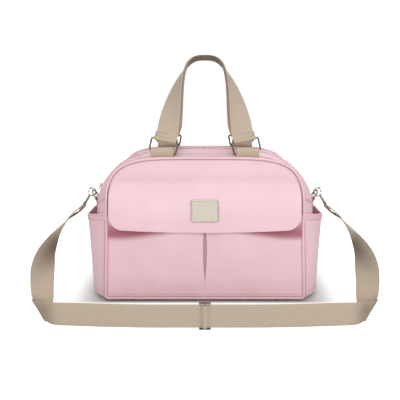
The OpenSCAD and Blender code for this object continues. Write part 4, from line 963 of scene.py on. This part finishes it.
fold = np.vstack([bar + 12.0 * ring_up + [0.0, web_thick + 0.9, 0.0],
                  bar + loop_r * (np.cos(bend) * [0, 1.0, 0] - np.sin(bend) * ring_up)])
leg = np.vstack([with_half(fold, web_half * ring_along), np.hstack([arch, half])])
stations = curve_through(np.vstack([leg, leg[-2::-1] * other_way]), 4)


def raised(p):
    """From the handle's own upright place to the bag: leant in about its pivot line, then set on the tabs."""
    c, s = math.cos(handle_lean), math.sin(handle_lean)
    return p @ np.array([[1, 0, 0], [0, c, -s], [0, s, c]]) + [0.0, -tab_y, tab_pivot]


points, faces, chart = ribbon(stations, web_thick)
# Painted shade over the top of the arch, where the webbing turns its face down and away from the light.
top_shade = 0.75 * ease((points[:, 2] / handle_h - 0.9) / 0.07)
points = raised(points)
sew_both("handle_webbing_{}", (points, right_way_out(points, faces)), 1, webbing, "handle_{}",
         "handle_{}", chart, top_shade)

# A box of stitching closes the fold above each ring.
near = np.linspace(0, 1, 24)[:, None]
corners = [bar + up * ring_up + side * web_half * ring_along
           + (web_thick / 2 + 0.15 + loop_r * (1 - up / 17.0)) * front_of for up, side in
           ((3.5, -0.86), (3.5, 0.86), (10.5, 0.86), (10.5, -0.86), (3.5, -0.86))]
rows = []
for a, c in zip(corners[:-1], corners[1:]):
    row = stitch_row(raised(a + near * (c - a)), raised(front_of) - raised(np.zeros(3)))
    rows += [row, across_bag(row, 0)]
sew_both("handle_stitches_{}", join(*rows), 1, thread_beige, "handle_{}", "")


# D-ring tabs: a short strip of leatherette on each gusset, folded over the straight side of the D-ring and sewn
# down below it.
dee_bar, fold_r = np.array([-196.631, 0.0, 165.5]), 2.65
bend = arc(0, 215, 23)
path = np.vstack([[[fold_r, 0, -17.0], [fold_r, 0, -11.0], [fold_r, 0, -5.0]],
                  fold_r * (np.cos(bend) * [1.0, 0, 0] + np.sin(bend) * [0, 0, 1.0]),
                  [[0.2, 0, -5.0], [0.9, 0, -9.0], [1.0, 0, -13.0], [1.0, 0, -16.8]]]) + dee_bar
points, faces, _ = ribbon(curve_through(with_half(path, [0, 11.3, 0]), 2), 1.5)
sew_both("ring_tab_leatherette_{}", (points, faces), 0, pink_trim, "bag", "ring_tab_{}")
across = np.linspace(-9.5, 9.5, 10)[:, None] * [0, 1.0, 0] + dee_bar
row = join(*(stitch_row(across + [0.15, 0.0, -below], left_of, 3.4, 0.36) for below in (11.6, 15.0)))
sew("ring_tab_stitches", join(row, across_bag(row, 0)), thread_pink, "bag")
